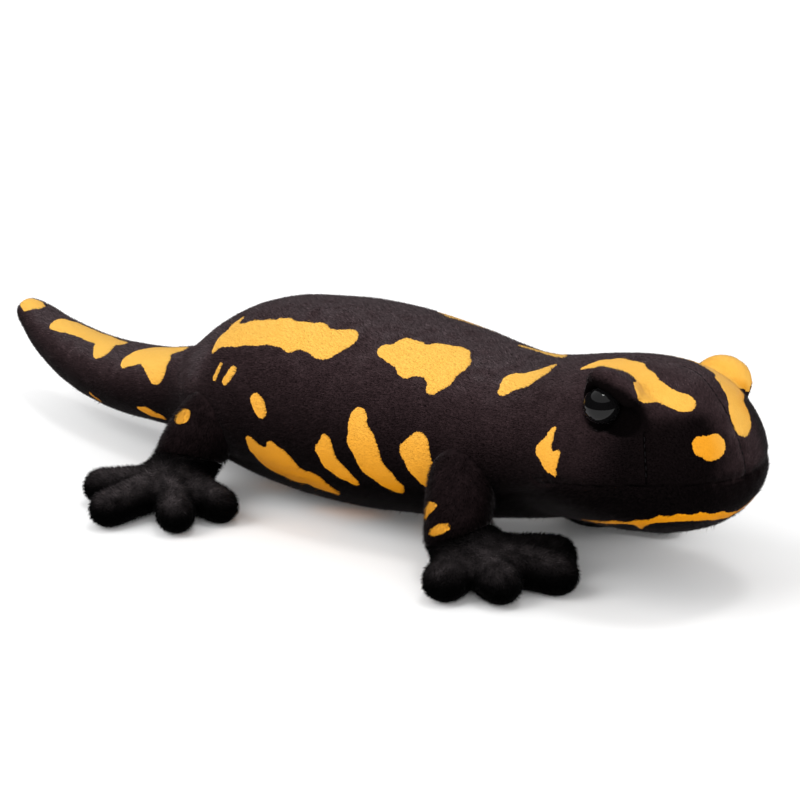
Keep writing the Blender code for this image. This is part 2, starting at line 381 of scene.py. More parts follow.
LEG_DRAW_IN = 0.935  # smoothing draws a 10-sided ring in to this share of its radius
ANKLE = 16.5  # height of the ankle's cut at the middle of the leg
ANKLE_SLOPE = 0.45  # how steeply it rises toward the toes
ANKLE_GAP = 0.15
SLEEVE_START = 17.0  # mm from the middle of the toy, well inside the body
STUB_LOW = 3.0  # height where the foot's own ankle ends, well inside the palm
STUB_FATTER = 0.3  # mm that it is fatter than the sleeve
SOLE_LIFT = 0.45  # the cloth of the sole is this far off the floor, on its pressed pile
FOOT_VOXEL = 1.15
TOE_AROUND, TOE_UP = 20, 14
TOE_EQUATOR = -0.01  # just behind a ball's middle, so that its widest ring goes with the tip
print("toes on each foot", len(FRONT_TOES))

# %% [markdown]
# A sleeve and a foot share their ankle's plane: one keeps what is above it and the other what is
# below, with a hair's gap between, as two pieces sewn edge to edge have.
# %% Sleeve, toe and foot
def cut_off(bm, point, normal):
    """Takes away what is behind the plane, and closes the cut."""
    everything = bm.verts[:] + bm.edges[:] + bm.faces[:]
    cut = bmesh.ops.bisect_plane(
        bm, geom=everything, plane_co=Vector(point) * MM, plane_no=Vector(normal), clear_inner=True
    )
    edges = [item for item in cut["geom_cut"] if isinstance(item, bmesh.types.BMEdge)]
    bmesh.ops.edgeloop_fill(bm, edges=edges)


def sleeve_tube(name, stations, side, thinner, levels):
    """A leg's tube as a bmesh, rounded off and still whole."""
    sized = [(Vector((x, -y * side, z)), radius - thinner) for x, y, z, radius in stations]
    sections = [(centre, size, size, size) for centre, size in sized]
    whole = piece(name, tube(sections, LEG_SIDES, LEG_DRAW_IN))
    subdivide(whole, levels)
    bm = bmesh.new()
    bm.from_mesh(whole.data)
    drop_object(whole)
    return bm


def toe(bm, start, end, start_radius, end_radius):
    """A ball whose rear half is drawn back to the palm."""
    verts = bmesh.ops.create_uvsphere(bm, u_segments=TOE_AROUND, v_segments=TOE_UP, radius=1.0)["verts"]
    place = section_at(end, end - start)
    front = [vert for vert in verts if vert.co.z > TOE_EQUATOR]
    rear = [vert for vert in verts if vert.co.z <= TOE_EQUATOR]
    bmesh.ops.scale(bm, vec=[end_radius] * 3, verts=front)
    bmesh.ops.scale(bm, vec=[start_radius] * 3, verts=rear)
    bmesh.ops.translate(bm, vec=(0, 0, -(end - start).length), verts=rear)
    bmesh.ops.transform(bm, matrix=Matrix.Scale(MM, 4) @ place, verts=verts)


def ankle_plane(stations, side, palm, toes):
    """A point of the cut between a leg and its foot, and its normal, which points up the leg."""
    x, y = [sum(place[k] for place in toes) / len(toes) - palm[k] for k in (0, 1)]
    ahead = Vector((x, -y * side, 0)).normalized() * -ANKLE_SLOPE
    leg_x, leg_y = stations[-1][:2]
    return Vector((leg_x, -leg_y * side, ANKLE)), Vector((ahead.x, ahead.y, 1.0)).normalized()


def sleeve(name, stations, side, ankle):
    bm = sleeve_tube(name, stations, side, PILE_DEPTH, 3)
    point, up_leg = ankle
    cut_off(bm, point + up_leg * ANKLE_GAP, up_leg)
    cut_off(bm, (0, SLEEVE_START * side, 0), (0, side, 0))
    return piece(name, bm)


def press_sole(cover):
    """Flattens what would reach below the sole's cloth."""
    points = points_of(cover.data)
    points[:, 2] = np.maximum(points[:, 2], SOLE_LIFT * MM)
    place_points(cover.data, points)


def foot(name, palm, toes, radius, stations, side, ankle):
    height = radius - SOLE_PRESS
    middle = Vector((palm[0], -palm[1] * side, height + ROOT_LIFT))
    cloth = radius - PILE_DEPTH
    wide = PALM_RADIUS - PILE_DEPTH
    bm = bmesh.new()
    ball(bm, middle, (wide, wide, cloth + PALM_EXTRA_HEIGHT))
    for x, y in toes:
        toe(bm, middle, Vector((x, -y * side, height)), cloth * TOE_TAPER, cloth)
    stub_bm = sleeve_tube("stub", stations, side, PILE_DEPTH - STUB_FATTER, 2)
    point, up_leg = ankle
    cut_off(stub_bm, point - up_leg * ANKLE_GAP, -up_leg)
    cut_off(stub_bm, (0, 0, STUB_LOW), (0, 0, 1))
    stub = piece("stub", stub_bm)
    bm.from_mesh(stub.data)
    drop_object(stub)
    made = piece(name, bm)
    grow_together(made, FOOT_VOXEL)
    press_sole(made)
    return made


def splayed(point, palm, degrees):
    """A place turned about the palm."""
    return tuple(Matrix.Rotation(math.radians(degrees), 2) @ (Vector(point) - Vector(palm)) + Vector(palm))


print("ankle's cut in mm", ANKLE, "up, with a gap of", 2 * ANKLE_GAP)

# %% [markdown]
# Each end of the toy has one set of numbers for both its limbs, so the loop below makes all four.
# %% Legs and feet
legs, feet, ankles = {}, {}, {}
for side_name, side in SIDES:
    splay = -LEFT_FRONT_SPLAY if side_name == "left" else 0.0
    front_toes = [splayed(point, FRONT_PALM, splay) for point in FRONT_TOES]
    if side_name == "left":
        front_toes[3] = tuple(Vector(front_toes[3]).lerp(Vector(FRONT_PALM), LEFT_TOE_SHORTER))
    for end, stations, palm, toes, radius in (
        ("front", FRONT_LEG, FRONT_PALM, front_toes, FRONT_TOE_RADIUS),
        ("hind", HIND_LEG, HIND_PALM, HIND_TOES, HIND_TOE_RADIUS),
    ):
        limb = f"{end}_{side_name}"
        ankles[limb] = ankle_plane(stations, side, palm, toes)
        legs[limb] = sleeve(f"{end}_leg_cover_{side_name}", stations, side, ankles[limb])
        foot_name = f"{end}_foot_cover_{side_name}"
        feet[limb] = foot(foot_name, palm, toes, radius, stations, side, ankles[limb])
print("foot faces", {name: len(obj.data.polygons) for name, obj in feet.items()})

# %% [markdown]
# ## Soft stuffing
# Stuffing never fills a toy evenly. Each cover's points move a little in and out along slow noise,
# which a sculptor would do with a large soft brush. Doing it by rule keeps every run the same.
# %% Uneven stuffing
BODY_LUMPS = [(34.0, 0.45), (13.0, 0.16)]  # each lump's size and height in mm
SLEEVE_LUMPS = [(16.0, 0.35)]
FOOT_LUMPS = [(11.0, 0.3)]
NOISE_STEP = (17.3, 5.1, 9.7)  # each seed looks at another part of the noise, this far on
NOISE_STRETCH = 1.6  # the noise seldom leaves the middle of its range


def slow_noise(points, size, seed):
    """Smooth noise from about -1 to 1 at each point in mm, with lumps of about this size in mm."""
    shift = Vector([seed * step for step in NOISE_STEP])
    return np.array([noise.noise(Vector(point) / size + shift) for point in points]) * NOISE_STRETCH


def stuff_unevenly(obj, lumps):
    points, normals = points_of(obj.data) / MM, points_of(obj.data, "normal")
    for seed, (size, height) in enumerate(lumps):
        points += normals * (slow_noise(points, size, seed) * height)[:, None]
    place_points(obj.data, points * MM)


stuff_unevenly(body_cover, BODY_LUMPS)
for limb in legs:
    stuff_unevenly(legs[limb], SLEEVE_LUMPS)
    stuff_unevenly(feet[limb], FOOT_LUMPS)
    press_sole(feet[limb])
print("covers stuffed", 1 + len(legs) + len(feet))

# %% [markdown]
# ## Where the print and the seams go
# A fire salamander's yellow is printed on the plush in blots. Each blot is a few strokes of a round
# brush: where the brush is and how wide it is there, in mm. On the body a place is given as how far
# along (x) and how far round from the top (degrees, positive to the right). On the head it is a
# bearing from straight ahead and a rise above level. A ray from inside finds the cloth there. A
# painted image could do it too, but it would lie on one unwrap only, and pile and cloth could then
# differ. The distance to the strokes is kept on every point, so both read the same print.
# %% Strokes on the body
BACK_STROKES = [
    [(-28, 53, 1.2), (-26, 45, 3.4), (-20.5, 41.5, 5.0), (-14, 41, 5.7), (-6, 41, 5.7), (3, 40, 5.6),
     (12, 39.5, 5.8), (20, 40, 5.3), (27.3, 41, 5.9), (31.4, 36.5, 4.8)],
    [(-24.5, 32, 2.6), (-23.5, 27, 1.4)], [(11, 46, 3.6)], [(24.5, 46.5, 3.6), (28, 45.5, 3.6)],
    [(-1, 32, 1.8), (2, 33, 2.6)], [(17, 32, 2.2), (19, 32, 2.0)],
    [(49.3, 38, 3.2), (55, 37, 4.8), (62, 39, 6.0), (69, 36, 6.2), (75, 31, 5.2)],
    [(66, 30, 5.0), (73, 24, 3.6), (75, 21, 2.0)], [(54.2, 30.5, 3.7), (58.5, 30.5, 3.4)],
    [(61, 46, 3.4), (60, 46, 2.8)],
    [(76, 36, 3.4), (74, 45, 4.4), (73, 53, 2.4)],
    [(98.6, 43.5, 2.4), (99.6, 37, 3.4), (104.5, 32, 3.9), (108, 23, 2.6), (109.5, 14, 1.3)],
    [(97.8, 33, 2.2), (98.6, 30.5, 2.0)],
]
FLANK_STROKES = [
    [(-19.6, 63, 0.9), (-21, 71, 1.3)], [(-14.5, 72.5, 1.8), (-11.6, 66, 1.9)],
    [(2.6, 79.5, 2.2), (4.6, 83, 2.9), (6, 86, 2.7)],
    [(-1.5, 105.5, 2.0), (0, 110.5, 3.9), (5, 118, 6.6), (13, 124, 6.4)],
    [(10, 106, 2.6), (12, 113, 5.6), (17, 122, 4.6)], [(17, 124, 4.0), (24, 127, 5.4), (30, 134, 2.6)],
    [(35.6, 94.5, 2.2), (34.5, 101, 3.5), (35.8, 108, 3.8), (39.3, 114, 3.3), (42.8, 119.5, 2.4)],
    [(48.9, 78, 3.0), (48.4, 84, 3.5), (50.3, 91.5, 5.3), (52.0, 99, 5.1), (53.3, 107, 4.7),
     (57.0, 114, 4.4), (60, 120, 3.6)],
    [(73.0, 86, 3.2), (71.8, 92.5, 5.3), (72.3, 101, 5.1), (74.9, 109, 4.3), (76.6, 118.5, 3.4)],
    [(67.5, 93.5, 2.4), (69, 94, 3.0)],
    [(127.8, 65, 0.8), (127, 70, 1.3), (125.6, 77, 3.2), (128.6, 82, 3.0), (131.5, 87.5, 1.0)],
    [(132, 76.5, 1.0), (130.5, 80, 2.6)],
]
LEFT_BACK_STROKES = [
    [(-26, -44, 3.0), (-18, -37, 6.4), (-6, -39, 6.8), (6, -36, 5.6), (15, -38, 6.2), (22, -45, 4.2)],
    [(-6, -48, 3.4), (-4, -44, 4.0)],
    [(42, -36, 3.4), (48, -29, 4.6), (54, -26, 6.0), (61, -29, 6.0), (68, -35, 4.0)],
    [(52, -36, 3.0), (56, -44, 2.4)],
    [(86, -16, 1.6), (92, -21, 3.6), (99, -17.5, 3.6), (104, -9, 2.2), (107, -4, 1.2)],
]
UNDER_STROKES = [
    [(-20, 168, 5.0), (-12, 174, 4.0)], [(14, 158, 4.0), (26, 164, 5.5), (34, 172, 3.6)],
    [(58, 176, 5.5), (68, 168, 4.5)], [(2, -160, 5.0), (10, -152, 3.6)], [(44, -162, 3.6), (52, -150, 4.8)],
]
TAIL_STROKES = [
    [(-177, 23, 3.2), (-172, 18, 4.0), (-166, 9, 2.2)],
    [(-146.5, 18, 4.2), (-141, 9, 4.8), (-131, 2, 4.8), (-120, 0, 4.8), (-110, 6, 4.4), (-102.5, 2, 2.4)],
    [(-112, 24, 3.2), (-108.5, 35, 3.6), (-106, 32, 3.2)],
    [(-89, 42, 3.4), (-85, 28, 4.8), (-80, 14, 6.2), (-74, 8, 6.5), (-68, 4, 4.2)],
    [(-75, 30, 6.0), (-70, 44, 5.4), (-67.5, 60, 4.2)],
    [(-112, 122, 1.5), (-108, 132, 1.6)], [(-79, 117, 1.3), (-74, 121, 2.3), (-67, 127, 1.7)],
    [(-96, -66, 2.0), (-90, -76, 3.4), (-84, -80, 2.0)], [(-133, -72, 2.4), (-128, -80, 2.0)],
]
print("strokes on the back and flanks", len(BACK_STROKES + FLANK_STROKES + LEFT_BACK_STROKES))

# %% [markdown]
# The brows and lids are painted as the body is. The strokes on the face, and the thin yellow line
# along the jaw, are given by their bearing from the middle of the head.
# %% Strokes on the head
HEAD_MIDDLE = Vector((145.0, -3.0, 45.0))
BROW_STROKES = [
    [(124.5, 20, 1.3), (128.7, 13, 2.9), (133.7, 11, 3.8), (142.0, 14.5, 4.4), (150.0, 23.5, 4.6),
     (154.8, 29, 4.6), (155.4, 36, 3.5)],
]
NEAR_LID_STROKES = [[(156, 25, 3.2), (161.1, 26.5, 3.1), (165.1, 24.5, 3.5), (166.2, 22, 3.3)]]
FAR_LID_STROKES = [
    [(150, -33, 5.0), (155, -35, 6.4), (160, -36, 6.8), (165, -36, 6.0), (168, -34, 4.4)],
    [(153, -44, 6.0), (159, -46, 6.6), (163, -50, 6.0), (165, -56, 4.0)],
]
FACE_STROKES = [
    [(29.4, 22.5, 3.3), (19.6, 21.5, 3.5)], [(25, 18.5, 2.6), (22, 19, 2.6)],
    [(19, 23.5, 2.2), (18, 22, 2.6)],
    [(-24, 50, 3.0), (-20, 43, 4.2), (-14, 35.5, 4.8), (-8.5, 30, 5.0), (-6, 28, 4.4)],
]
JAW_STROKES = [
    [(115, -35, 0.8), (104, -34, 1.4), (90, -29, 1.4), (77, -23, 1.2), (62, -18.5, 1.5), (51, -14, 1.5),
     (42, -13, 1.5), (30, -14, 1.7), (16, -17, 1.7), (3, -20, 1.3)],
    [(62, -20, 1.6), (61, -28, 0.8)],
]
print("strokes on the head", len(BROW_STROKES + NEAR_LID_STROKES + FAR_LID_STROKES + FACE_STROKES))

# %% [markdown]
# Now a ray from inside the toy finds the cloth at each place. The left brow is the right one's
# mirror image in the plane midway between the lids, because the head leans a little. The left
# flank repeats the right one's blots, moved along and swayed up and down, so they never match.
# %% Strokes found on the cloth
LEFT_SHIFT, LEFT_SHARE = 5.0, 0.96  # mm that the left flank's blots lie further on, and their size
LEFT_NECK_SHIFT = -2.0  # the same for the two blots on the neck
LEFT_SWAY, LEFT_SWAY_LENGTH = 4.0, 9.0  # degrees up and down, and mm for each radian of it
body_tree = BVHTree.FromObject(body_cover, bpy.context.evaluated_depsgraph_get())


def cloth_from(start, way):
    """Where a ray from a place inside, in mm, meets the cloth."""
    return body_tree.ray_cast(start * MM, way)[0] / MM


def along_body(x, turn, width=0.0):
    angle = math.radians(turn)
    return (*cloth_from(Vector((x, *middle_at(x))), Vector((0, -math.sin(angle), math.cos(angle)))), width)


def on_head(bearing, rise, width=0.0):
    across, up = math.radians(bearing), math.radians(rise)
    way = Vector((math.cos(across) * math.cos(up), -math.sin(across) * math.cos(up), math.sin(up)))
    return (*cloth_from(HEAD_MIDDLE, way), width)


lid_gap = lid_middle["left"] - lid_middle["right"]
head_plane = (lid_middle["left"] + lid_middle["right"]) / 2
across_head = lid_gap.normalized()


def mirrored_on_head(stroke):
    made = []
    for x, y, z, width in stroke:
        point = Vector((x, y, z))
        point -= across_head * (2 * (point - head_plane).dot(across_head))
        made.append((*(body_tree.find_nearest(point * MM)[0] / MM), width))
    return made


def strokes_on(finder, strokes):
    return [[finder(*place) for place in stroke] for stroke in strokes]


def other_flank(strokes, shift, share):
    def moved(x, turn, width):
        return x + shift, -turn - LEFT_SWAY * math.sin(x / LEFT_SWAY_LENGTH), width * share

    return [[moved(*place) for place in stroke] for stroke in strokes]


def other_cheek(strokes):
    return [[(-bearing, *rest) for bearing, *rest in stroke] for stroke in strokes]


print_strokes = strokes_on(along_body, BACK_STROKES + FLANK_STROKES + LEFT_BACK_STROKES + UNDER_STROKES)
print_strokes += strokes_on(along_body, other_flank(FLANK_STROKES[2:-2], LEFT_SHIFT, LEFT_SHARE))
print_strokes += strokes_on(along_body, other_flank(FLANK_STROKES[-2:], LEFT_NECK_SHIFT, 1.0))
print_strokes += strokes_on(along_body, TAIL_STROKES)
brow = strokes_on(along_body, BROW_STROKES)
print_strokes += brow + [mirrored_on_head(stroke) for stroke in brow]
print_strokes += strokes_on(along_body, NEAR_LID_STROKES + FAR_LID_STROKES)
print_strokes += strokes_on(on_head, FACE_STROKES + JAW_STROKES + other_cheek(JAW_STROKES))
print("print strokes", len(print_strokes))

# %% [markdown]
# The head is sewn from several pieces, and its seams show: a mouth line and a cheek dart on each
# side, one seam down the middle of the face and one over the crown.
# %% Seams of the head
MIDLINE_SEAM = [(-2, 0), (0, 12), (2, 22), (2, 30), (1, 40), (0, 50), (-9, 62), (-20, 76)]
CROWN_SEAM = [(148, -7), (138, -5), (126, -3)]
MOUTH_SEAM = [
    (125, -7), (112, -4), (97, -1), (82, 1.5), (66, 4), (52, 5), (38, 4.5), (24, 3.5), (11, 2), (0, 1),
]
CHEEK_DART = [(61, 31), (60.5, 24), (59.5, 15), (58.5, 5)]
face_seams = strokes_on(on_head, [MOUTH_SEAM, CHEEK_DART] + other_cheek([MOUTH_SEAM, CHEEK_DART]))
top_seams = strokes_on(on_head, [MIDLINE_SEAM]) + strokes_on(along_body, [CROWN_SEAM])
print("head seams", len(face_seams + top_seams))

# %% [markdown]
# ## Distances to the print and the seams
# A stroke is a chain of tapered capsules. The print's value at a point is how far outside the
# nearest capsule it lies, in mm, so it is below zero inside a blot. Capsules of one blot blend
# softly, as wet ink would, and slow noise makes the outline less regular.
# %% Distances
FAR_AWAY = 1e3  # mm
BLEND_REACH = 20.0  # mm from a stroke, past which blending no longer matters
BLEND_LIMIT = 30.0  # mm, so that the sum below never overflows
TINY = 1e-12  # keeps a division or a logarithm from meeting zero
BLOT_BLEND = 0.7
BLOT_TRIM = 0.05
BLOT_RAGGED, BLOT_RAGGED_SIZE = 0.35, 4.5  # mm that the outline wanders, and over what length
TAIL_SEAM_X = -66.0
TAIL_SEAM_SWEEP = 0.85  # mm forward for each mm away from the middle
TAIL_SEAM_SLANT = 1.3  # the swept seam is this much nearer than its distance along x says
NOT_BELLY = -20.0
NO_SEAM = 50.0
PANEL_LEAST_RADIUS = 6.0  # mm
# the belly panel's edge: how far round from the top it is, in degrees, at each of these x
PANEL_EDGE_X = [-58.0, -30.0, 60.0, 92.0, 112.0, 124.0, 133.0, 150.0, 165.0, 175.0, 182.0]
PANEL_EDGE_TURN = [150.0, 126.0, 119.0, 120.0, 110.0, 101.0, 93.0, 88.0, 84.5, 84.0, 84.0]


def distance_to(points, strokes, blend=0.0):
    """How far each point in mm is outside the nearest stroke."""
    nearest = np.full(len(points), FAR_AWAY)
    total = np.zeros(len(points))
    for stroke in strokes:
        for start, end in zip(stroke, stroke[1:] or stroke):
            a, b = np.array(start[:3]), np.array(end[:3])
            along = b - a
            share = np.clip((points - a) @ along / max(along @ along, TINY), 0, 1)
            gap = np.linalg.norm(points - a - share[:, None] * along, axis=1)
            gap -= start[3] + (end[3] - start[3]) * share
            nearest = np.minimum(nearest, gap)
            if blend:
                total += np.exp(-np.clip(gap, -BLEND_LIMIT, BLEND_LIMIT) / blend)
    if not blend:
        return nearest
    return np.where(nearest < BLEND_REACH, -blend * np.log(np.maximum(total, TINY)), nearest)


def print_at(points):
    """How far outside the print each point near the body's cloth is, in mm."""
    ragged = BLOT_RAGGED * slow_noise(points, BLOT_RAGGED_SIZE, 5)
    return distance_to(points, print_strokes, BLOT_BLEND) + BLOT_TRIM + ragged


def tail_seam_gap(points):
    """How far each point in mm is from the seam that joins the tail to the trunk."""
    swept = TAIL_SEAM_SWEEP * np.abs(points[:, 1])
    return np.abs(points[:, 0] - TAIL_SEAM_X - swept) / TAIL_SEAM_SLANT


def belly_of(points):
    """How far each point is inside the belly panel, in mm along the cloth; below zero above it."""
    y, z = middle_at(points[:, 0])
    out = np.hypot(points[:, 1] - y, points[:, 2] - z)
    edge = np.interp(points[:, 0], PANEL_EDGE_X, PANEL_EDGE_TURN)
    inside = np.radians(np.abs(turn_of(points)) - edge) * np.maximum(out, PANEL_LEAST_RADIUS)
    return np.where(points[:, 0] < PANEL_EDGE_X[0], NOT_BELLY, inside)


def bell(values, width):
    """1 where the values are 0, and fading away over about this width."""
    return np.exp(-((values / width) ** 2))


def smooth_step(values, low, high):
    share = np.clip((values - low) / (high - low), 0, 1)
    return share * share * (3 - 2 * share)


print("the belly panel starts at x", PANEL_EDGE_X[0], "and the tail's seam is at", TAIL_SEAM_X)

# %% [markdown]
# ## Painted light and shade
# Black pile looks pale where its threads lie with their sides to the light, and deep black where
# one looks into it. On the toy it is palest on top, has a sheen on the haunch and on what faces
# forward, and is deepest on the belly, on the sides of the snout and in the folds. Lamps alone
# would not do this, because very dark threads give back almost no light whatever the lamp. So this
# light and shade is painted: each point keeps its own lighting from 0 to 1, and the material picks
# its black and its yellow by it. Every range below is where a change starts and where it is done,
# in mm, or as a part of the normal.
# %% Painted lighting
UP_LIFT, UP_SPAN = 0.7, 1.67  # turns a normal's rise into 0 underneath and 1 on top, for painted light from above
BODY_UP_POWER = 2.0
# less painted light on the sides of the snout and on the head, more on the tail's base
SNOUT_ALONG, SNOUT_TOP = (138, 158), (66, 71)
SNOUT_FACING_OUT, SNOUT_FACING_UP = (0.05, 0.35), (0.55, 1.0)
SNOUT_DARKER = 0.93
HEAD_ALONG, HEAD_CALMER = (102, 124), 0.20
TAIL_ALONG, TAIL_PALER = (60, 75), 0.3  # behind the middle
# painted sheen on what faces forward and on the haunch
FACING_AHEAD, FACING_LEVEL, AHEAD_SHEEN = (0.6, 0.95), (-0.3, 0.2), 0.36
HAUNCH_X, HAUNCH_LENGTH, HAUNCH_SHEEN = -39, 9, 0.55
HAUNCH_FROM, HAUNCH_TO = (0.0, 0.4), (0.7, 0.95)
# painted shade on the belly panel, which faces down
BELLY_EDGE, BELLY_SHADE = (-1.5, 0.5), 0.9


def facing_up(normals, lift, span, power):
    return np.clip((normals[:, 2] + lift) / span, 0, 1) ** power


def body_lighting(points, normals, belly, light):
    """How much painted light and sheen the body's colour gets, from 0 to 1."""
    x, z, rise = points[:, 0], points[:, 2], normals[:, 2]
    snout = smooth_step(x, *SNOUT_ALONG) * smooth_step(np.abs(normals[:, 1]), *SNOUT_FACING_OUT)
    snout *= (1 - smooth_step(rise, *SNOUT_FACING_UP)) * (1 - smooth_step(z, *SNOUT_TOP))
    calmer_head = 1 - HEAD_CALMER * smooth_step(x, *HEAD_ALONG)
    ahead = smooth_step(normals[:, 0], *FACING_AHEAD) * smooth_step(rise, *FACING_LEVEL)
    haunch = smooth_step(rise, *HAUNCH_FROM) * (1 - smooth_step(rise, *HAUNCH_TO))
    painted_sheen = AHEAD_SHEEN * ahead * (1 - snout)
    painted_sheen += HAUNCH_SHEEN * bell(x - HAUNCH_X, HAUNCH_LENGTH) * haunch
    paler_tail = 1 + TAIL_PALER * smooth_step(-x, *TAIL_ALONG)
    up = facing_up(normals, UP_LIFT, UP_SPAN, BODY_UP_POWER)
    lit = up * calmer_head * paler_tail * (1 - SNOUT_DARKER * snout) * light
    return (lit + painted_sheen) * (1 - BELLY_SHADE * smooth_step(belly, *BELLY_EDGE))


print("lighting is least under", BELLY_EDGE[1], "mm inside the belly panel")

# %% [markdown]
# Folds and the places under the belly and chin get deeper painted shade still. A painter would
# bake ambient occlusion. Here rays go out from each point toward the light, and the share that gets
# past the toy's other parts is how open the point is.
# %% Openness
LIGHT_AXIS = Vector((-0.35, -0.45, 0.82))
LIGHT_WAYS = 20
LIGHT_SPREAD = 72.0  # degrees either side of the axis
SHADE_REACH = 60.0  # mm
EVEN_TURN = 2.39996  # the turn between one way and the next that spreads them evenly
ALWAYS_SEEN = 0.15  # light that reaches every fold
CLEAR_OF_CLOTH = 0.8  # mm above the cloth where a ray starts
LEAST_FACING = 0.06  # a ray that lies flatter to the cloth than this isn't sent


def light_ways():
    """Directions spread evenly about the middle of the light."""
    turn = LIGHT_AXIS.normalized().to_track_quat("Z", "Y")
    for k in range(LIGHT_WAYS):
        rise = 1 - (k + 0.5) / LIGHT_WAYS * (1 - math.cos(math.radians(LIGHT_SPREAD)))
        flat = math.sqrt(1 - rise * rise)
        yield turn @ Vector((flat * math.cos(k * EVEN_TURN), flat * math.sin(k * EVEN_TURN), rise))


def openness(points, normals, tree):
    """How much of the light each point sees past the toy's other parts, from 0 to 1."""
    seen = np.full(len(points), ALWAYS_SEEN)
    whole = seen.copy()
    starts = (points + normals * CLEAR_OF_CLOTH) * MM
    for way in light_ways():
        facing = normals @ np.array(way)
        for i in np.nonzero(facing > LEAST_FACING)[0]:
            whole[i] += facing[i]
            if tree.ray_cast(starts[i], way, SHADE_REACH * MM)[0] is None:
                seen[i] += facing[i]
    return seen / whole


everything = bmesh.new()
for cover in (body_cover, *legs.values(), *feet.values()):
    everything.from_mesh(cover.data)
toy_tree = BVHTree.FromBMesh(everything)
everything.free()
print("ways toward the light", LIGHT_WAYS)

# %% [markdown]
# ## What the body's cloth keeps
# Each point of the cover keeps five numbers that the materials and the pile read later: its
# distances to the print, to the nearest seam and into the belly panel, its painted lighting, and
# how deep it is in the painted shade of the pit round an eye. The seams are also drawn in here:
# thread pulls the cloth into a groove, and puckers it a little beside the thread.
# %% Values kept on the body
# each seam's groove: how deep it is and about half its width, in mm
FACE_GROOVE, TOP_GROOVE = (0.45, 1.5), (0.3, 1.1)
TAIL_GROOVE, PANEL_GROOVE = (0.35, 3.0), (0.15, 1.6)
TAIL_SEAM_HIDDEN = 0.6  # mm, because the tail's pile covers its seam
PUCKER_WIDTH, PUCKER_SIZE, PUCKER_HEIGHT = 4.0, 2.6, 0.18
PIT_SHADE_EDGE = (0.98, 1.20)  # where the pit ends, as a share of its own half size
RING_EDGE = (7.9, 8.9)  # and as mm from the rings round the eye
# painted shade: the pit reads black, so its print is hidden past this depth
UNPRINTED_PIT, UNPRINTED_GAP = 0.3, 2.0  # the pit is black past this depth: mm outside the print
BODY_SHADE_POWER = 1.8  # painted shade in the folds of the body's long shapes is deeper than rays alone give
PIT_SHADE = 0.97
BODY_MOTTLE, BODY_MOTTLE_SIZE = 0.14, 4.0


def keep(mesh, name, values):
    kind, field = ("FLOAT_VECTOR", "vector") if values.ndim == 2 else ("FLOAT", "value")
    data = mesh.attributes.new(name, kind, "POINT").data
    data.foreach_set(field, np.ascontiguousarray(values, np.float32).ravel())


def taken(mesh, name):
    values = np.empty(len(mesh.vertices), np.float32)
    mesh.attributes[name].data.foreach_get("value", values)
    return values.astype(float)


def groove_at(gap, depth, width):
    return depth * bell(gap, width)


def eye_pit(points):
    """1 where painted shade fills the pit round an eye and 0 outside it, with a soft edge."""
    in_hollow = np.full(len(points), FAR_AWAY)
    in_ring = in_hollow.copy()
    for side_name, side in SIDES:
        eye = eye_middle[side_name]
        offset = points - np.array(eye + outward_of(side, HOLLOW_FROM_EYE))
        inside = offset @ np.array(hollow_axes(side)).T / np.array(DARK_HALF)
        in_hollow = np.minimum(in_hollow, np.linalg.norm(inside, axis=1))
        for ring in DARK_RINGS_FROM_EYE:
            gap = np.linalg.norm(points - np.array(eye + outward_of(side, ring)), axis=1)
            in_ring = np.minimum(in_ring, gap)
    return 1 - np.minimum(smooth_step(in_hollow, *PIT_SHADE_EDGE), smooth_step(in_ring, *RING_EDGE))


points, normals = points_of(body_cover.data) / MM, points_of(body_cover.data, "normal")
blots = print_at(points)
belly = belly_of(points)
face_gap, top_gap = distance_to(points, face_seams), distance_to(points, top_seams)
tail_gap = tail_seam_gap(points)
belly_gap = np.where(points[:, 0] < PANEL_EDGE_X[1], NO_SEAM, np.abs(belly))
seam_gap = np.minimum(np.minimum(face_gap, top_gap), tail_gap + TAIL_SEAM_HIDDEN)
groove = groove_at(face_gap, *FACE_GROOVE) + groove_at(top_gap, *TOP_GROOVE)
groove += groove_at(tail_gap, *TAIL_GROOVE) + groove_at(belly_gap, *PANEL_GROOVE)
pucker = bell(seam_gap, PUCKER_WIDTH) * slow_noise(points, PUCKER_SIZE, 9) * PUCKER_HEIGHT
pit = eye_pit(points)
place_points(body_cover.data, (points + normals * (pucker - groove)[:, None]) * MM)
normals = points_of(body_cover.data, "normal")
light = openness(points, normals, toy_tree) ** BODY_SHADE_POWER
mottle = 1 + BODY_MOTTLE * slow_noise(points, BODY_MOTTLE_SIZE, 6)
keep(body_cover.data, "belly", belly)
keep(body_cover.data, "seam", seam_gap)
keep(body_cover.data, "pit", pit)
keep(body_cover.data, "blot", np.where(pit > UNPRINTED_PIT, np.maximum(blots, UNPRINTED_GAP), blots))
# the pit's painted shade takes nearly all the painted light away
lighting = body_lighting(points, normals, belly, light) * (1 - PIT_SHADE * pit) * mottle
keep(body_cover.data, "lighting", lighting)
print("share of the body cover that is yellow", round(float((blots < 0).mean()), 3))

# %% [markdown]
# The legs carry a few small blots of their own, and the feet none. A leg's blots are given as
# points close to its outer side. Both get painted light on top and painted shade at the ankle, where
# sleeve and foot shade each other, and their longer pile is more mottled than the body's.
# %% Values kept on the legs and feet
# painted light from above on sleeves and feet, with painted shade at the ankle and near the floor
SLEEVE_PALEST, SLEEVE_UP_POWER = 0.24, 1.6
SLEEVE_ANKLE = (0, 6)  # mm above the ankle over which a sleeve gets its full painted light
SLEEVE_ANKLE_SHARE = 0.5
SLEEVE_MOTTLE, FOOT_MOTTLE, LIMB_MOTTLE_SIZE = 0.5, 0.55, 3.0
FOOT_PALEST, FOOT_UP_POWER = 0.72, 2.4
FOOT_UP_LIFT, FOOT_UP_SPAN = 0.3, 1.3
FOOT_HEIGHT = (3, 15)  # mm above the floor over which a foot gets its full painted light, with painted shade below
FOOT_ANKLE = (1, 11)  # and mm away from the ankle
FOOT_ANKLE_SHARE = 0.15
LIMB_SHADE_POWER = 1.3
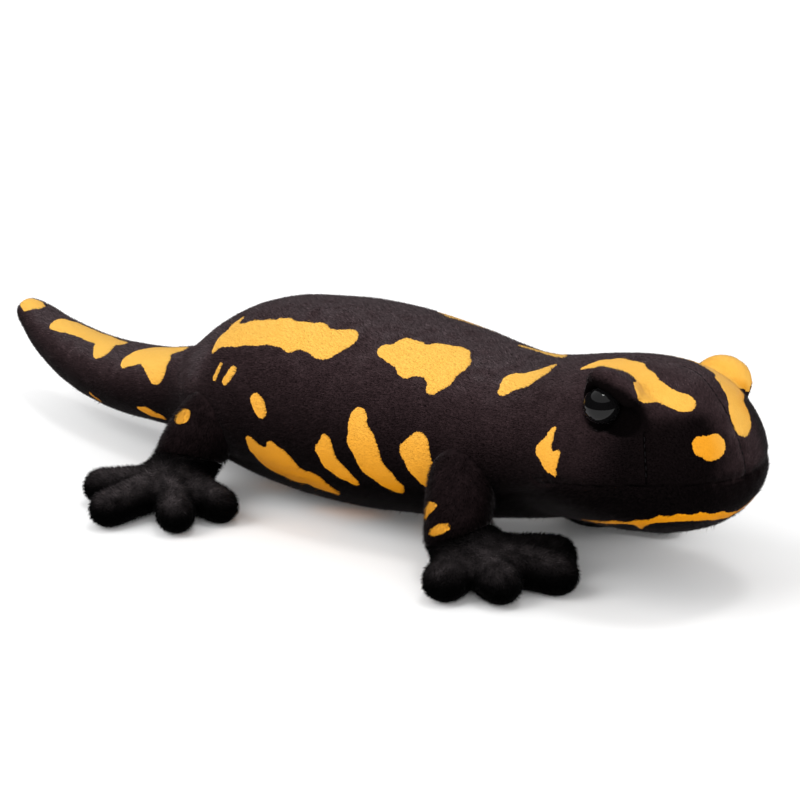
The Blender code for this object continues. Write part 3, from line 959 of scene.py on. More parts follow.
LEG_STROKES = {
    "hind_right": [[(-30.6, -39.2, 33.6, 3.1), (-31.8, -39.2, 33.2, 3.1)]],
    "hind_left": [[(-29.0, 38.0, 35.0, 2.4), (-33.0, 39.0, 31.0, 1.8)]],
    "front_right": [
        [(89.2, -46.0, 28.0, 0.9), (86.4, -45.2, 26.3, 1.5), (84.5, -45.0, 24.0, 1.3),
         (84.0, -45.0, 21.5, 0.8)],
        [(89.3, -48.3, 18.8, 1.5), (92.8, -48.3, 20.8, 1.5), (95.5, -47.5, 22.0, 1.3)],
    ],
    "front_left": [
        [(88.0, 48.0, 19.0, 1.6), (94.0, 48.0, 22.5, 2.0)],
        [(86.0, 45.0, 29.0, 1.8), (90.0, 45.0, 31.0, 1.4)],
    ],
}


def above_ankle(points, ankle):
    """How far each point in mm is above the cut of its ankle."""
    point, up_leg = ankle
    return (points - np.array(point)) @ np.array(up_leg)


def sleeve_lighting(points, normals, ankle):
    clear_of_ankle = smooth_step(above_ankle(points, ankle), *SLEEVE_ANKLE)
    lighting = SLEEVE_PALEST * facing_up(normals, UP_LIFT, UP_SPAN, SLEEVE_UP_POWER)
    lighting *= SLEEVE_ANKLE_SHARE + (1 - SLEEVE_ANKLE_SHARE) * clear_of_ankle
    return lighting * np.maximum(1 + SLEEVE_MOTTLE * slow_noise(points, LIMB_MOTTLE_SIZE, 8), 0)


def foot_lighting(points, normals, ankle):
    clear_of_ankle = smooth_step(-above_ankle(points, ankle), *FOOT_ANKLE)
    lighting = FOOT_PALEST * facing_up(normals, FOOT_UP_LIFT, FOOT_UP_SPAN, FOOT_UP_POWER)
    lighting *= smooth_step(points[:, 2], *FOOT_HEIGHT)
    lighting *= FOOT_ANKLE_SHARE + (1 - FOOT_ANKLE_SHARE) * clear_of_ankle
    return lighting * np.maximum(1 + FOOT_MOTTLE * slow_noise(points, LIMB_MOTTLE_SIZE, 4), 0)


def limb_print_at(points, strokes):
    """How far outside a limb's own blots each point in mm is."""
    return distance_to(points, strokes, BLOT_BLEND) + BLOT_TRIM


for limb in legs:
    for cover, strokes, lighting_of in (
        (legs[limb], LEG_STROKES[limb], sleeve_lighting), (feet[limb], [], foot_lighting),
    ):
        points, normals = points_of(cover.data) / MM, points_of(cover.data, "normal")
        keep(cover.data, "blot", limb_print_at(points, strokes))
        keep(cover.data, "seam", np.full(len(points), NO_SEAM))
        # painted shade where the toy's other parts block the light
        light = openness(points, normals, toy_tree) ** LIMB_SHADE_POWER
        keep(cover.data, "lighting", lighting_of(points, normals, ankles[limb]) * light)
print("leg blots", sum(map(len, LEG_STROKES.values())))

# %% [markdown]
# ## The finish of printed plush
# Three effects are used by more than one material, so each is a node group, built once and placed
# with its own values. First, a few helpers make nodes: each takes plain values or other nodes'
# outputs, and sets or links them.
# %% Node helpers
def new_group(name, inputs, outputs):
    group = bpy.data.node_groups.new(name, "ShaderNodeTree")
    for label, kind, value in inputs:
        socket = group.interface.new_socket(name=label, in_out="INPUT", socket_type=kind)
        if value is not None:
            socket.default_value = value
    for label, kind in outputs:
        group.interface.new_socket(name=label, in_out="OUTPUT", socket_type=kind)
    return group, group.nodes.new("NodeGroupInput"), group.nodes.new("NodeGroupOutput")


def feed(tree, socket, value):
    """Links another node's output to a socket, or sets a plain value on it."""
    if isinstance(value, bpy.types.NodeSocket):
        tree.links.new(value, socket)
    else:
        socket.default_value = value


def maths(tree, operation, *values):
    node = tree.nodes.new("ShaderNodeMath")
    node.operation = operation
    for socket, value in zip(node.inputs, values):
        feed(tree, socket, value)
    return node.outputs[0]


def soft_step(tree, value, low, high):
    """0 below low, 1 above high, and smooth between."""
    node = tree.nodes.new("ShaderNodeMapRange")
    node.interpolation_type = "SMOOTHSTEP"
    tree.links.new(value, node.inputs["Value"])
    node.inputs["From Min"].default_value, node.inputs["From Max"].default_value = low, high
    return node.outputs["Result"]


def mixed(tree, share, first, second, kind="Color", blend="MIX"):
    """A Mix node. Its sockets share their names, so each is found by its identifier."""
    node = tree.nodes.new("ShaderNodeMix")
    node.data_type = {"Color": "RGBA", "Vector": "VECTOR"}[kind]
    node.blend_type = blend
    sockets = {socket.identifier: socket for socket in [*node.inputs, *node.outputs]}
    feed(tree, sockets["Factor_Float"], share)
    feed(tree, sockets[f"A_{kind}"], first)
    feed(tree, sockets[f"B_{kind}"], second)
    return sockets[f"Result_{kind}"]


def noise_node(tree, size, detail=2.0, roughness=0.5):
    """Noise on Object coordinates with features of about this size in mm."""
    place = tree.nodes.new("ShaderNodeTexCoord").outputs["Object"]
    node = tree.nodes.new("ShaderNodeTexNoise")
    node.inputs["Scale"].default_value = 1 / (size * MM)
    node.inputs["Detail"].default_value, node.inputs["Roughness"].default_value = detail, roughness
    tree.links.new(place, node.inputs["Vector"])
    return node.outputs["Fac"]


print("helpers make Maths, Map Range, Mix and Noise Texture nodes")

# %% [markdown]
# One group prints the blots on cloth and pile alike: it reads the kept distance, frays the edge
# with fine noise and picks black or yellow. The kept lighting then paints light and shade into
# each: it runs from deep black to lit black, near 1 to a painted sheen, and from shaded to lit
# yellow. So the belly panel, whose lighting is low, gets painted shade: deeper yellow, denser black.
# %% Colours and the print group
# deep black, and the lit and shaded copies of black and yellow that the painted lighting picks between; the
# sheen black is a painted sheen
DEEP_BLACK = (0.0026, 0.0018, 0.0019, 1)
LIT_BLACK = (0.0455, 0.0270, 0.0295, 1)
SHEEN_BLACK = (0.0600, 0.0440, 0.0470, 1)
SHADED_YELLOW = (0.70, 0.262, 0.0047, 1)
LIT_YELLOW = (0.80, 0.45, 0.087, 1)
DEEP_FOOT = (0.0008, 0.0008, 0.0008, 1)
LIT_FOOT = (0.0500, 0.0420, 0.0435, 1)
CLOTH_FRAY = 0.3
FRAY_SIZE, FRAY_REACH = 0.9, 4.0  # mm
EDGE_SOFT = 0.14  # mm either side of the print's edge
SHEEN_PAINT_POWER = 5.0  # the painted sheen comes only where the lighting is high
PALE_POWER = 0.5  # painted light turns yellow pale sooner than it turns black to lit black

printed, taking, giving = new_group(
    "printed plush",
    [("Blot", "NodeSocketFloat", 1.0), ("Lighting", "NodeSocketFloat", 0.3),
     ("Fray", "NodeSocketFloat", CLOTH_FRAY), ("Deep Black", "NodeSocketColor", DEEP_BLACK),
     ("Dusty Black", "NodeSocketColor", LIT_BLACK),
     ("Frosted Black", "NodeSocketColor", SHEEN_BLACK), ("Shaded Yellow", "NodeSocketColor", SHADED_YELLOW),
     ("Lit Yellow", "NodeSocketColor", LIT_YELLOW)],
    [("Colour", "NodeSocketColor"), ("Yellow Mask", "NodeSocketFloat")],
)
given = taking.outputs
centred = maths(printed, "SUBTRACT", noise_node(printed, FRAY_SIZE), 0.5)
fray = maths(printed, "MULTIPLY", centred, given["Fray"])
edge = maths(printed, "MULTIPLY_ADD", fray, FRAY_REACH, given["Blot"])
outside = soft_step(printed, edge, -EDGE_SOFT, EDGE_SOFT)
blacks = mixed(printed, given["Lighting"], given["Deep Black"], given["Dusty Black"])
sheen_paint = maths(printed, "POWER", given["Lighting"], SHEEN_PAINT_POWER)
blacks = mixed(printed, sheen_paint, blacks, given["Frosted Black"])
pale = maths(printed, "POWER", given["Lighting"], PALE_POWER)
yellows = mixed(printed, pale, given["Shaded Yellow"], given["Lit Yellow"])
printed.links.new(mixed(printed, outside, yellows, blacks), giving.inputs["Colour"])
printed.links.new(maths(printed, "SUBTRACT", 1.0, outside), giving.inputs["Yellow Mask"])
print("the print group takes", [socket.name for socket in given if socket.name])

# %% [markdown]
# Real pile is never one flat shade, so a second group flecks single tufts paler or darker by a
# chance tone that each of them keeps.
# %% Flecks group
flecked, taking, giving = new_group(
    "pile flecks",
    [("Colour", "NodeSocketColor", None), ("Tone", "NodeSocketFloat", 0.0),
     ("Amount", "NodeSocketFloat", 0.3)],
    [("Colour", "NodeSocketColor")],
)
given = taking.outputs
shade = flecked.nodes.new("ShaderNodeHueSaturation")
flecked.links.new(given["Colour"], shade.inputs["Color"])
brightness = maths(flecked, "MULTIPLY_ADD", given["Tone"], given["Amount"], 1.0)
flecked.links.new(brightness, shade.inputs["Value"])
flecked.links.new(shade.outputs["Color"], giving.inputs["Colour"])
print("the flecks group takes", [socket.name for socket in given if socket.name])

# %% [markdown]
# The third group turns a tuft's shading normal most of the way to the normal of the cloth it grows
# on. Very short pile does look like that: its threads are too fine to show sides of their own.
# %% Nap group
napped, taking, giving = new_group(
    "nap shading",
    [("Lay", "NodeSocketVector", None), ("Share", "NodeSocketFloat", 0.8)],
    [("Normal", "NodeSocketVector")],
)
given = taking.outputs
own_side = napped.nodes.new("ShaderNodeNewGeometry").outputs["Normal"]
toward = mixed(napped, given["Share"], own_side, given["Lay"], kind="Vector")
unit = napped.nodes.new("ShaderNodeVectorMath")
unit.operation = "NORMALIZE"
napped.links.new(toward, unit.inputs[0])
napped.links.new(unit.outputs["Vector"], giving.inputs["Normal"])
print("node groups", [group.name for group in bpy.data.node_groups])

# %% [markdown]
# Plush scatters a little light back along the skin of its pile. That is the shader's Sheen, which
# is slight here, since the kept lighting already paints most of the sheen and shade into the
# colour. Threads have almost no gloss of their own. The cloth under the pile has the same colours
# and a fine bump, is dark in the seams and calmer where it is yellow. The pile's flecks are calmer there too.
# %% Plush materials
THREAD_ROUGH, THREAD_GLOSS = 0.92, 0.004
CLOTH_FLECK_SIZE = 0.7  # mm
CLOTH_FLECK, CLOTH_YELLOW_CALMER = 0.5, 0.45
PILE_YELLOW_CALMER = 0.93  # share of the flecks that yellow pile doesn't have
PILE_FRAY = 0.22
SEAM_SHADE, UNSHADED = (0.12, 0.10, 0.10, 1), (1, 1, 1, 1)
SEAM_INNER, SEAM_OUTER = 0.15, 0.8  # mm from the thread, over which the shade fades
BUMP_STRENGTH = 0.6


def new_material(name):
    made = bpy.data.materials.new(name)
    made.use_nodes = True
    return made, made.node_tree, made.node_tree.nodes["Principled BSDF"]


def group_node(tree, group, **values):
    node = tree.nodes.new("ShaderNodeGroup")
    node.node_tree = group
    for label, value in values.items():
        feed(tree, node.inputs[label.replace("_", " ")], value)
    return node


def attribute(tree, name, output="Fac"):
    node = tree.nodes.new("ShaderNodeAttribute")
    node.attribute_name = name
    return node.outputs[output]


def velvet(shader, sheen, sheen_roughness, tint):
    shader.inputs["Roughness"].default_value = THREAD_ROUGH
    shader.inputs["Specular IOR Level"].default_value = THREAD_GLOSS
    shader.inputs["Sheen Weight"].default_value = sheen
    shader.inputs["Sheen Roughness"].default_value = sheen_roughness
    shader.inputs["Sheen Tint"].default_value = tint


def dyed_plush(tree, blacks, **fray):
    """The print group, reading what the mesh keeps."""
    kept = {label: attribute(tree, label.lower()) for label in ("Blot", "Lighting")}
    return group_node(tree, printed, **kept, **blacks, **fray).outputs


def plush_cloth(name, blacks, sheen, bump_size, bump_height):
    made, tree, shader = new_material(name)
    dyed = dyed_plush(tree, blacks)
    tone = maths(tree, "MULTIPLY_ADD", noise_node(tree, CLOTH_FLECK_SIZE), 2.0, -1.0)
    calm = maths(tree, "MULTIPLY_ADD", dyed["Yellow Mask"], -CLOTH_YELLOW_CALMER, CLOTH_FLECK)
    colour = group_node(tree, flecked, Colour=dyed["Colour"], Tone=tone, Amount=calm).outputs["Colour"]
    out_of_seam = soft_step(tree, attribute(tree, "seam"), SEAM_INNER, SEAM_OUTER)
    shade = mixed(tree, out_of_seam, SEAM_SHADE, UNSHADED)
    feed(tree, shader.inputs["Base Color"], mixed(tree, 1.0, colour, shade, blend="MULTIPLY"))
    bump = tree.nodes.new("ShaderNodeBump")
    bump.inputs["Distance"].default_value = bump_height * MM
    bump.inputs["Strength"].default_value = BUMP_STRENGTH
    tree.links.new(noise_node(tree, bump_size, 3.0, 0.6), bump.inputs["Height"])
    tree.links.new(bump.outputs["Normal"], shader.inputs["Normal"])
    velvet(shader, *sheen)
    return made


def plush_pile(name, blacks, sheen, fleck, share):
    made, tree, shader = new_material(name)
    dyed = dyed_plush(tree, blacks, Fray=PILE_FRAY)
    calm = maths(tree, "MULTIPLY_ADD", dyed["Yellow Mask"], -PILE_YELLOW_CALMER * fleck, fleck)
    tone = attribute(tree, "tone")
    colour = group_node(tree, flecked, Colour=dyed["Colour"], Tone=tone, Amount=calm).outputs["Colour"]
    tree.links.new(colour, shader.inputs["Base Color"])
    nap = group_node(tree, napped, Lay=attribute(tree, "lay", "Vector"), Share=share)
    tree.links.new(nap.outputs["Normal"], shader.inputs["Normal"])
    velvet(shader, *sheen)
    return made


BODY_SHEEN = (0.12, 0.30, (1.0, 0.90, 0.93, 1))  # its weight, roughness and tint
FOOT_SHEEN = (0.03, 0.30, (1.0, 0.95, 0.97, 1))
NO_SHEEN = (0.0, 0.30, (1.0, 1.0, 1.0, 1))
FOOT_BLACKS = {"Deep_Black": DEEP_FOOT, "Dusty_Black": LIT_FOOT, "Frosted_Black": LIT_FOOT}
PIT_SHADE_BLACKS = {"Dusty_Black": DEEP_BLACK, "Frosted_Black": DEEP_BLACK}
body_cloth = plush_cloth("body plush cloth", {}, BODY_SHEEN, bump_size=0.5, bump_height=0.35)
body_pile = plush_pile("body plush pile", {}, BODY_SHEEN, fleck=0.9, share=0.95)
foot_cloth = plush_cloth("foot plush cloth", FOOT_BLACKS, FOOT_SHEEN, bump_size=0.7, bump_height=0.5)
foot_pile = plush_pile("foot plush pile", FOOT_BLACKS, FOOT_SHEEN, fleck=1.0, share=0.60)
# the pit's cloth of painted shade: deep black all over and no sheen
pit_shade_cloth = plush_cloth("painted pit shade", PIT_SHADE_BLACKS, NO_SHEEN, bump_size=0.5, bump_height=0.3)
print("materials", [made.name for made in bpy.data.materials])

# %% [markdown]
# ## The pile
# Velvety plush is a dense field of short threads that lie over toward the tail. Blender's hair
# would be dropped by the export, so each tuft is a real three-sided spike. Hundreds of thousands of
# them are made at once from arrays. First, roots are spread over the cloth by area. Each root takes
# what the cloth keeps there, mixed from the three corners of its triangle.
# %% Roots
TUFT_VALUES = ("blot", "lighting")  # what a tuft's material reads from the cloth


def roots_on(obj, per_mm2, chance, skip, names=TUFT_VALUES):
    """Roots spread evenly over the cloth: places, normals and the kept values there, in mm."""
    mesh = obj.data
    mesh.calc_loop_triangles()
    tris = np.empty(len(mesh.loop_triangles) * 3, np.int32)
    mesh.loop_triangles.foreach_get("vertices", tris)
    tris = tris.reshape(-1, 3)
    points, normals = points_of(mesh) / MM, points_of(mesh, "normal")
    a, b, c = points[tris[:, 0]], points[tris[:, 1]], points[tris[:, 2]]
    area = np.linalg.norm(np.cross(b - a, c - a), axis=1) / 2
    area[skip(points, normals)[tris].any(axis=1)] = 0.0
    count = int(area.sum() * per_mm2)
    which = np.searchsorted(np.cumsum(area) / area.sum(), (np.arange(count) + chance.random(count)) / count)
    which = np.minimum(which, len(tris) - 1)
    u, v = chance.random(count), chance.random(count)
    folded = u + v > 1
    u, v = np.where(folded, 1 - u, u), np.where(folded, 1 - v, v)
    weights = np.stack([1 - u - v, u, v], axis=1)
    corners = tris[which]

    def at(values):
        return np.einsum("nk,nk...->n...", weights, values[corners])

    normal = at(normals)
    normal /= np.linalg.norm(normal, axis=1, keepdims=True)
    return at(points), normal, {name: at(taken(mesh, name)) for name in names}


print("a tuft takes from the cloth", TUFT_VALUES)

# %% [markdown]
# Each spike leans along the nap, with a little chance in its turn, lean and length. It keeps the
# print's value at its root and at its tip, so blots have crisp, slightly frayed edges, and the
# root's normal, which shades it like the cloth. Every tuft is four triangles, three of them seen.
# %% Tufts
TUFT_FACES = np.array([(0, 2, 1), (0, 1, 3), (1, 2, 3), (2, 0, 3)])
ROOT_ANGLES = (90, 210, 330)
ROOT_FLAT = 0.8  # a root's depth along the nap, as a share of its width across it
ROOT_DEPTH = 0.12  # mm that it stands in the cloth
FLOOR_GAP = 0.02  # mm, so that no tuft reaches below the floor
TUFT_CORNERS_UV = np.array([(0, 0), (1, 0), (0.5, 1)]) * 0.003  # a tuft's patch of the unwrap
UV_MARGIN, UV_WIDTH = 0.004, 0.988


def leaning(normal, way, lean, turn):
    """The nap along the cloth, and the direction of each tuft."""
    nap = way - normal * (way * normal).sum(1, keepdims=True)
    nap /= np.maximum(np.linalg.norm(nap, axis=1, keepdims=True), TINY)
    side = np.cross(normal, nap)
    nap = nap * np.cos(turn)[:, None] + side * np.sin(turn)[:, None]
    return nap, nap * np.sin(lean)[:, None] + normal * np.cos(lean)[:, None]


def tuft_arrays(points, normal, nap, way, length, wide):
    """Four corners for each tuft: three round its root and one at its tip, in mm."""
    side = np.cross(normal, nap)
    corners = np.empty((len(points), 4, 3))
    for k, angle in enumerate(ROOT_ANGLES):
        out = side * (math.sin(math.radians(angle)) * wide)[:, None]
        out += nap * (math.cos(math.radians(angle)) * wide * ROOT_FLAT)[:, None]
        corners[:, k] = points + out - normal * ROOT_DEPTH
    corners[:, 3] = points + way * length[:, None]
    corners[:, :, 2] = np.maximum(corners[:, :, 2], FLOOR_GAP)
    return corners


def tuft_piece(name, corners, unwrapped, kept, material):
    """One mesh of many tufts. Each has a patch of its own in the OFBake unwrap."""
    count = len(corners)
    mesh = bpy.data.meshes.new(name)
    mesh.vertices.add(count * 4)
    mesh.vertices.foreach_set("co", (corners * MM).astype(np.float32).ravel())
    faces = (TUFT_FACES[None] + 4 * np.arange(count)[:, None, None]).reshape(-1, 3)
    mesh.loops.add(faces.size)
    mesh.loops.foreach_set("vertex_index", faces.astype(np.int32).ravel())
    mesh.polygons.add(len(faces))
    mesh.polygons.foreach_set("loop_start", np.arange(0, faces.size, 3, dtype=np.int32))
    mesh.polygons.foreach_set("use_smooth", np.ones(len(faces), bool))
    mesh.update(calc_edges=True)
    patch = unwrapped[:, None, None, :] + TUFT_CORNERS_UV[None, None] + np.zeros((count, 4, 1, 1))
    mesh.uv_layers.new(name="OFBake").data.foreach_set("uv", patch.astype(np.float32).ravel())
    for label, values in kept.items():
        keep(mesh, label, values.ravel() if values.shape[1:] == (4,) else np.repeat(values, 4, axis=0))
    mesh.materials.append(material)
    return add_object(name, mesh)


def fitted(flat):
    """Places fitted into the unit square, with room for a patch."""
    low, high = flat.min(0), flat.max(0)
    return UV_MARGIN + UV_WIDTH * (flat - low) / np.maximum(high - low, TINY)


def root_and_tip(at_root, at_tip):
    """The value at each of a tuft's four corners, so that the print runs across the tufts."""
    return np.stack([at_root, at_root, at_root, at_tip], axis=1)


print("triangles in each tuft", len(TUFT_FACES))

# %% [markdown]
# A pile is split into pieces of under 200,000 triangles. The chance in its tufts comes from one
# seeded source, so every run grows the same pile.
# %% Piles
MOST_TUFTS = 49000  # in one piece, to stay under 200,000 triangles
TONE_SPREAD, PALE_TONE, PALE_TUFTS = 0.45, 2.2, 0.05
chance = np.random.default_rng(7)
tuft_share = 1.0
piles = []


def tones(count):
    """Chance lightness of single tufts: most near 0, a few much paler."""
    most = np.clip(chance.normal(0, TONE_SPREAD, count), -1, 1)
    return most + PALE_TONE * (chance.random(count) < PALE_TUFTS)


def swirl(points, amount):
    """Slow turning of the nap, in radians, by three crossing waves."""
    x, y, z = points.T
    return amount * (np.sin(x * 0.11 + 2 * np.sin(z * 0.13)) + 0.8 * np.sin(y * 0.17 + x * 0.05))


def lay_pile(name, corners, flat, kept, order, material):
    """Splits tufts into pieces, in this order, and makes each piece."""
    pieces = math.ceil(len(corners) / MOST_TUFTS)
    for number, part in enumerate(np.array_split(order, pieces), 1):
        part_kept = {label: values[part] for label, values in kept.items()}
        piles.append(tuft_piece(f"{name}_{number}", corners[part], fitted(flat[part]), part_kept, material))
    print(name, len(corners), "tufts in", pieces, "pieces")


print("share of the tufts in this run", tuft_share)

# %% [markdown]
# Three places stay bare. The pile is parted along the seams of the head, so those are followed by
# close steps on the cloth. It stays out of the eye sockets and off the cloth under the sleeves.
# %% Where the pile stays out
SEAM_STEPS = 6  # steps for each point of a seam
PARTING, PARTING_RAGGED, PARTING_SIZE = 0.3, 0.1, 3.0  # mm
EYE_CLEAR = 0.15  # mm between an eye and the pile
SLEEVE_CLEAR = -1.2  # mm outside a leg's tube: deeper in it, the body's pile would be hidden
DEEPEST_PILE = 0.75  # the pit is bare past this
leg_lines = []
for _, side in SIDES:
    leg_lines += [[(x, -y * side, z, radius) for x, y, z, radius in leg] for leg in (FRONT_LEG, HIND_LEG)]
seam_lines = []
for seam in face_seams + top_seams:
    line = np.array([place[:3] for place in seam])
    steps = np.linspace(0, len(line) - 1, SEAM_STEPS * len(line))
    fine = np.stack([np.interp(steps, np.arange(len(line)), line[:, k]) for k in range(3)], axis=1)
    seam_lines.append([(*(body_tree.find_nearest(Vector(place) * MM)[0] / MM), 0.0) for place in fine])


def buried(points, tree):
    """Which points in mm lie inside a closed cover."""
    found = []
    for point in points:
        near, normal, _, _ = tree.find_nearest(Vector(point) * MM)
        found.append((Vector(point) * MM - near).dot(normal) < 0)
    return np.array(found)


def from_eyes(points):
    return np.min([np.linalg.norm(points - np.array(place), axis=1) for place in eye_middle.values()], axis=0)


def under_sleeve(points, normals):
    hidden = from_eyes(points) < EYE_RADIUS + EYE_CLEAR
    return hidden | (distance_to(points, leg_lines) < SLEEVE_CLEAR)


print("steps along the seams", sum(map(len, seam_lines)))

# %% [markdown]
# On the body the nap runs from the nose to the tail and a little down. The pile is shortest on the
# face and round the eyes and longest on the belly panel, and a few stray tufts stand up. The yellow
# tufts are thinner, flatter and shorter, because the printed yellow looks smooth on the toy, while
# the black shows its threads.
# %% Body pile
BODY_TUFTS_PER_MM2 = 4.4
BODY_NAP, NOSE_NAP = (-1.0, 0.0, -0.15), (0.3, 0, 1.3)  # its way, and what the nose adds to it
NOSE_ALONG = (163, 181)
STRAYS, STRAY_UPRIGHT, STRAY_LONGER = 0.012, 22, 0.45  # their share, degrees and share of length
BODY_LEAN, BODY_LEAN_SPREAD = 64, 5  # degrees from upright
BODY_SWIRL, BODY_TURN_SPREAD = 0.16, 0.14  # radians
YELLOW_FLATTER, YELLOW_SHORTER, YELLOW_THINNER = 7, 0.15, 0.55  # degrees, and shares
BODY_TUFT, FACE_SHORTER, BELLY_LONGER = 1.3, 0.35, 0.5  # mm long
FACE_ALONG, BELLY_START = (108, 126), (-1, 2)
SEAM_PRESSED, SEAM_PRESS_WIDTH = 0.5, (0.2, 1.8)  # the share of length left in a seam
EYE_PRESSED, EYE_PRESS_WIDTH = 0.35, 3.5
BODY_THREAD = (0.10, 0.16)  # mm from a root's middle to its corners
BODY_LENGTHS = (0.8, 1.2)  # the chance in a tuft's length, as shares of it
ALONG_OUTWARD = ((-60, 100), (1, -1))  # how the split between two pieces leans, by x


def shortened(least, share):
    """From this least share of the length up to all of it."""
    return least + (1 - least) * share


points, normal, kept = roots_on(
    body_cover, BODY_TUFTS_PER_MM2 * tuft_share, chance, under_sleeve, (*TUFT_VALUES, "belly", "seam", "pit")
)
parting = PARTING + PARTING_RAGGED * slow_noise(points, PARTING_SIZE, 3)
here = (distance_to(points, seam_lines) > parting) & (kept["pit"] < DEEPEST_PILE)
points, normal = points[here], normal[here]
kept = {label: values[here] for label, values in kept.items()}
count = len(points)
yellow = kept["blot"] < 0
nose = smooth_step(points[:, 0], *NOSE_ALONG)[:, None]
way = np.tile(BODY_NAP, (count, 1)) + nose * np.array(NOSE_NAP)
stray = chance.random(count) < STRAYS
lean = chance.normal(BODY_LEAN, BODY_LEAN_SPREAD, count) - STRAY_UPRIGHT * stray + YELLOW_FLATTER * yellow
turn = swirl(points, BODY_SWIRL) + chance.normal(0, BODY_TURN_SPREAD, count)
nap, way = leaning(normal, way, np.radians(lean), turn)
length = BODY_TUFT - FACE_SHORTER * smooth_step(points[:, 0], *FACE_ALONG)
length += BELLY_LONGER * smooth_step(kept["belly"], *BELLY_START)
length *= chance.uniform(*BODY_LENGTHS, count) * (1 + STRAY_LONGER * stray)
length *= shortened(SEAM_PRESSED, smooth_step(kept["seam"], *SEAM_PRESS_WIDTH))
length *= 1 - YELLOW_SHORTER * yellow
length *= shortened(EYE_PRESSED, smooth_step(from_eyes(points), EYE_RADIUS, EYE_RADIUS + EYE_PRESS_WIDTH))
wide = chance.uniform(*BODY_THREAD, count) * (1 - YELLOW_THINNER * yellow)
corners = tuft_arrays(points, normal, nap, way, length, wide)
blot = root_and_tip(kept["blot"], print_at(corners[:, 3]))
body_kept = {"blot": blot, "lighting": kept["lighting"], "tone": tones(count), "lay": normal}
y, z = middle_at(points[:, 0])
out = np.hypot(points[:, 1] - y, points[:, 2] - z)
along = points[:, 0] + out * np.interp(points[:, 0], *ALONG_OUTWARD)
flat = np.stack([along, turn_of(points)], axis=1)
lay_pile("body_pile", corners, flat, body_kept, np.argsort(along), body_pile)

# %% [markdown]
# The sleeves wear the body's plush, with the nap running down to the ankle. The feet wear a plain
# plush with a longer, rougher pile that runs outward to the toes. It is pressed under the soles,
# and longer on both sides of each ankle, where it covers the seam.
# %% Leg and foot pile
LIMB_LEAN_SPREAD = 10  # degrees
LIMB_SWIRL = 0.2  # radians
LIMB_LENGTHS, LIMB_WIDTHS = (0.7, 1.25), (0.8, 1.2)  # the chance in a tuft's length and width
SOLE_PRESSED, SOLE_PRESS_HEIGHT = 0.35, (0.6, 2.5)
ANKLE_LONGER, ANKLE_REACH = 0.55, (0.5, 4.5)
FOOT_DROP = 6.0  # how steeply the foot's nap runs down, against mm outward
LEG_NAP = (-0.15, 0.0, -1.0)
LIMB_APART = 1.1  # each limb has its own strip of the unwrap
CUT_FACING = 0.8  # a face that points along the leg this much is the ankle's cut
CUT_ABOVE, CUT_BELOW = 1, -1.2  # mm above the cut within which it is looked for
body_now = BVHTree.FromObject(body_cover, bpy.context.evaluated_depsgraph_get())


def limb_pile(name, covers, strokes, per_mm2, length, lean, wide, spread, nap_way, skip, material, height):
    """The pile of four covers; height is in mm and fills the unwrap from bottom to top."""
    all_corners, all_flat, all_kept = [], [], []
    for number, (limb, cover) in enumerate(covers.items()):
        skip_here = functools.partial(skip, ankle=ankles[limb])
        points, normal, kept = roots_on(cover, per_mm2 * tuft_share, chance, skip_here)
        count = len(points)
        centre = points.mean(0)
        leans = np.radians(chance.normal(lean, LIMB_LEAN_SPREAD, count))
        turn = swirl(points, LIMB_SWIRL) + chance.normal(0, spread, count)
        nap, way = leaning(normal, nap_way(points, centre), leans, turn)
        lengths = length * chance.uniform(*LIMB_LENGTHS, count)
        lengths *= shortened(SOLE_PRESSED, smooth_step(points[:, 2], *SOLE_PRESS_HEIGHT))
        from_ankle = smooth_step(np.abs(above_ankle(points, ankles[limb])), *ANKLE_REACH)
        lengths *= 1 + ANKLE_LONGER - ANKLE_LONGER * from_ankle
        widths = chance.uniform(*LIMB_WIDTHS, count) * wide
        corners = tuft_arrays(points, normal, nap, way, lengths, widths)
        tips = limb_print_at(corners[:, 3], strokes.get(limb, []))
        angle = np.degrees(np.arctan2(points[:, 1] - centre[1], points[:, 0] - centre[0]))
        kept["blot"] = root_and_tip(kept["blot"], tips)
        kept.update(tone=tones(count), lay=normal)
        all_corners.append(corners)
        all_flat.append(np.stack([angle / 360 + number * LIMB_APART, points[:, 2] / height], axis=1))
        all_kept.append(kept)
    corners, flat = np.concatenate(all_corners), np.concatenate(all_flat)
    kept = {label: np.concatenate([k[label] for k in all_kept]) for label in all_kept[0]}
    lay_pile(name, corners, flat, kept, np.arange(len(corners)), material)


def inside_body(points, normals, ankle):
    cut_face = (above_ankle(points, ankle) < CUT_ABOVE) & (normals @ np.array(ankle[1]) < -CUT_FACING)
    return buried(points, body_now) | cut_face


def under_ankle(points, normals, ankle):
    return (above_ankle(points, ankle) > CUT_BELOW) & (normals @ np.array(ankle[1]) > CUT_FACING)


def down_the_leg(points, centre):
    return np.tile(LEG_NAP, (len(points), 1))


def out_to_toes(points, centre):
    way = points - centre
    way[:, 2] = -FOOT_DROP
    return way


limb_pile(
    "leg_pile", legs, LEG_STROKES, per_mm2=3.5, length=1.6, lean=58, wide=0.14, spread=0.35,
    nap_way=down_the_leg, skip=inside_body, material=body_pile, height=40.0,
)
limb_pile(
    "foot_pile", feet, {}, per_mm2=3.4, length=1.7, lean=57, wide=0.15, spread=0.45,
    nap_way=out_to_toes, skip=under_ankle, material=foot_pile, height=15.0,
)

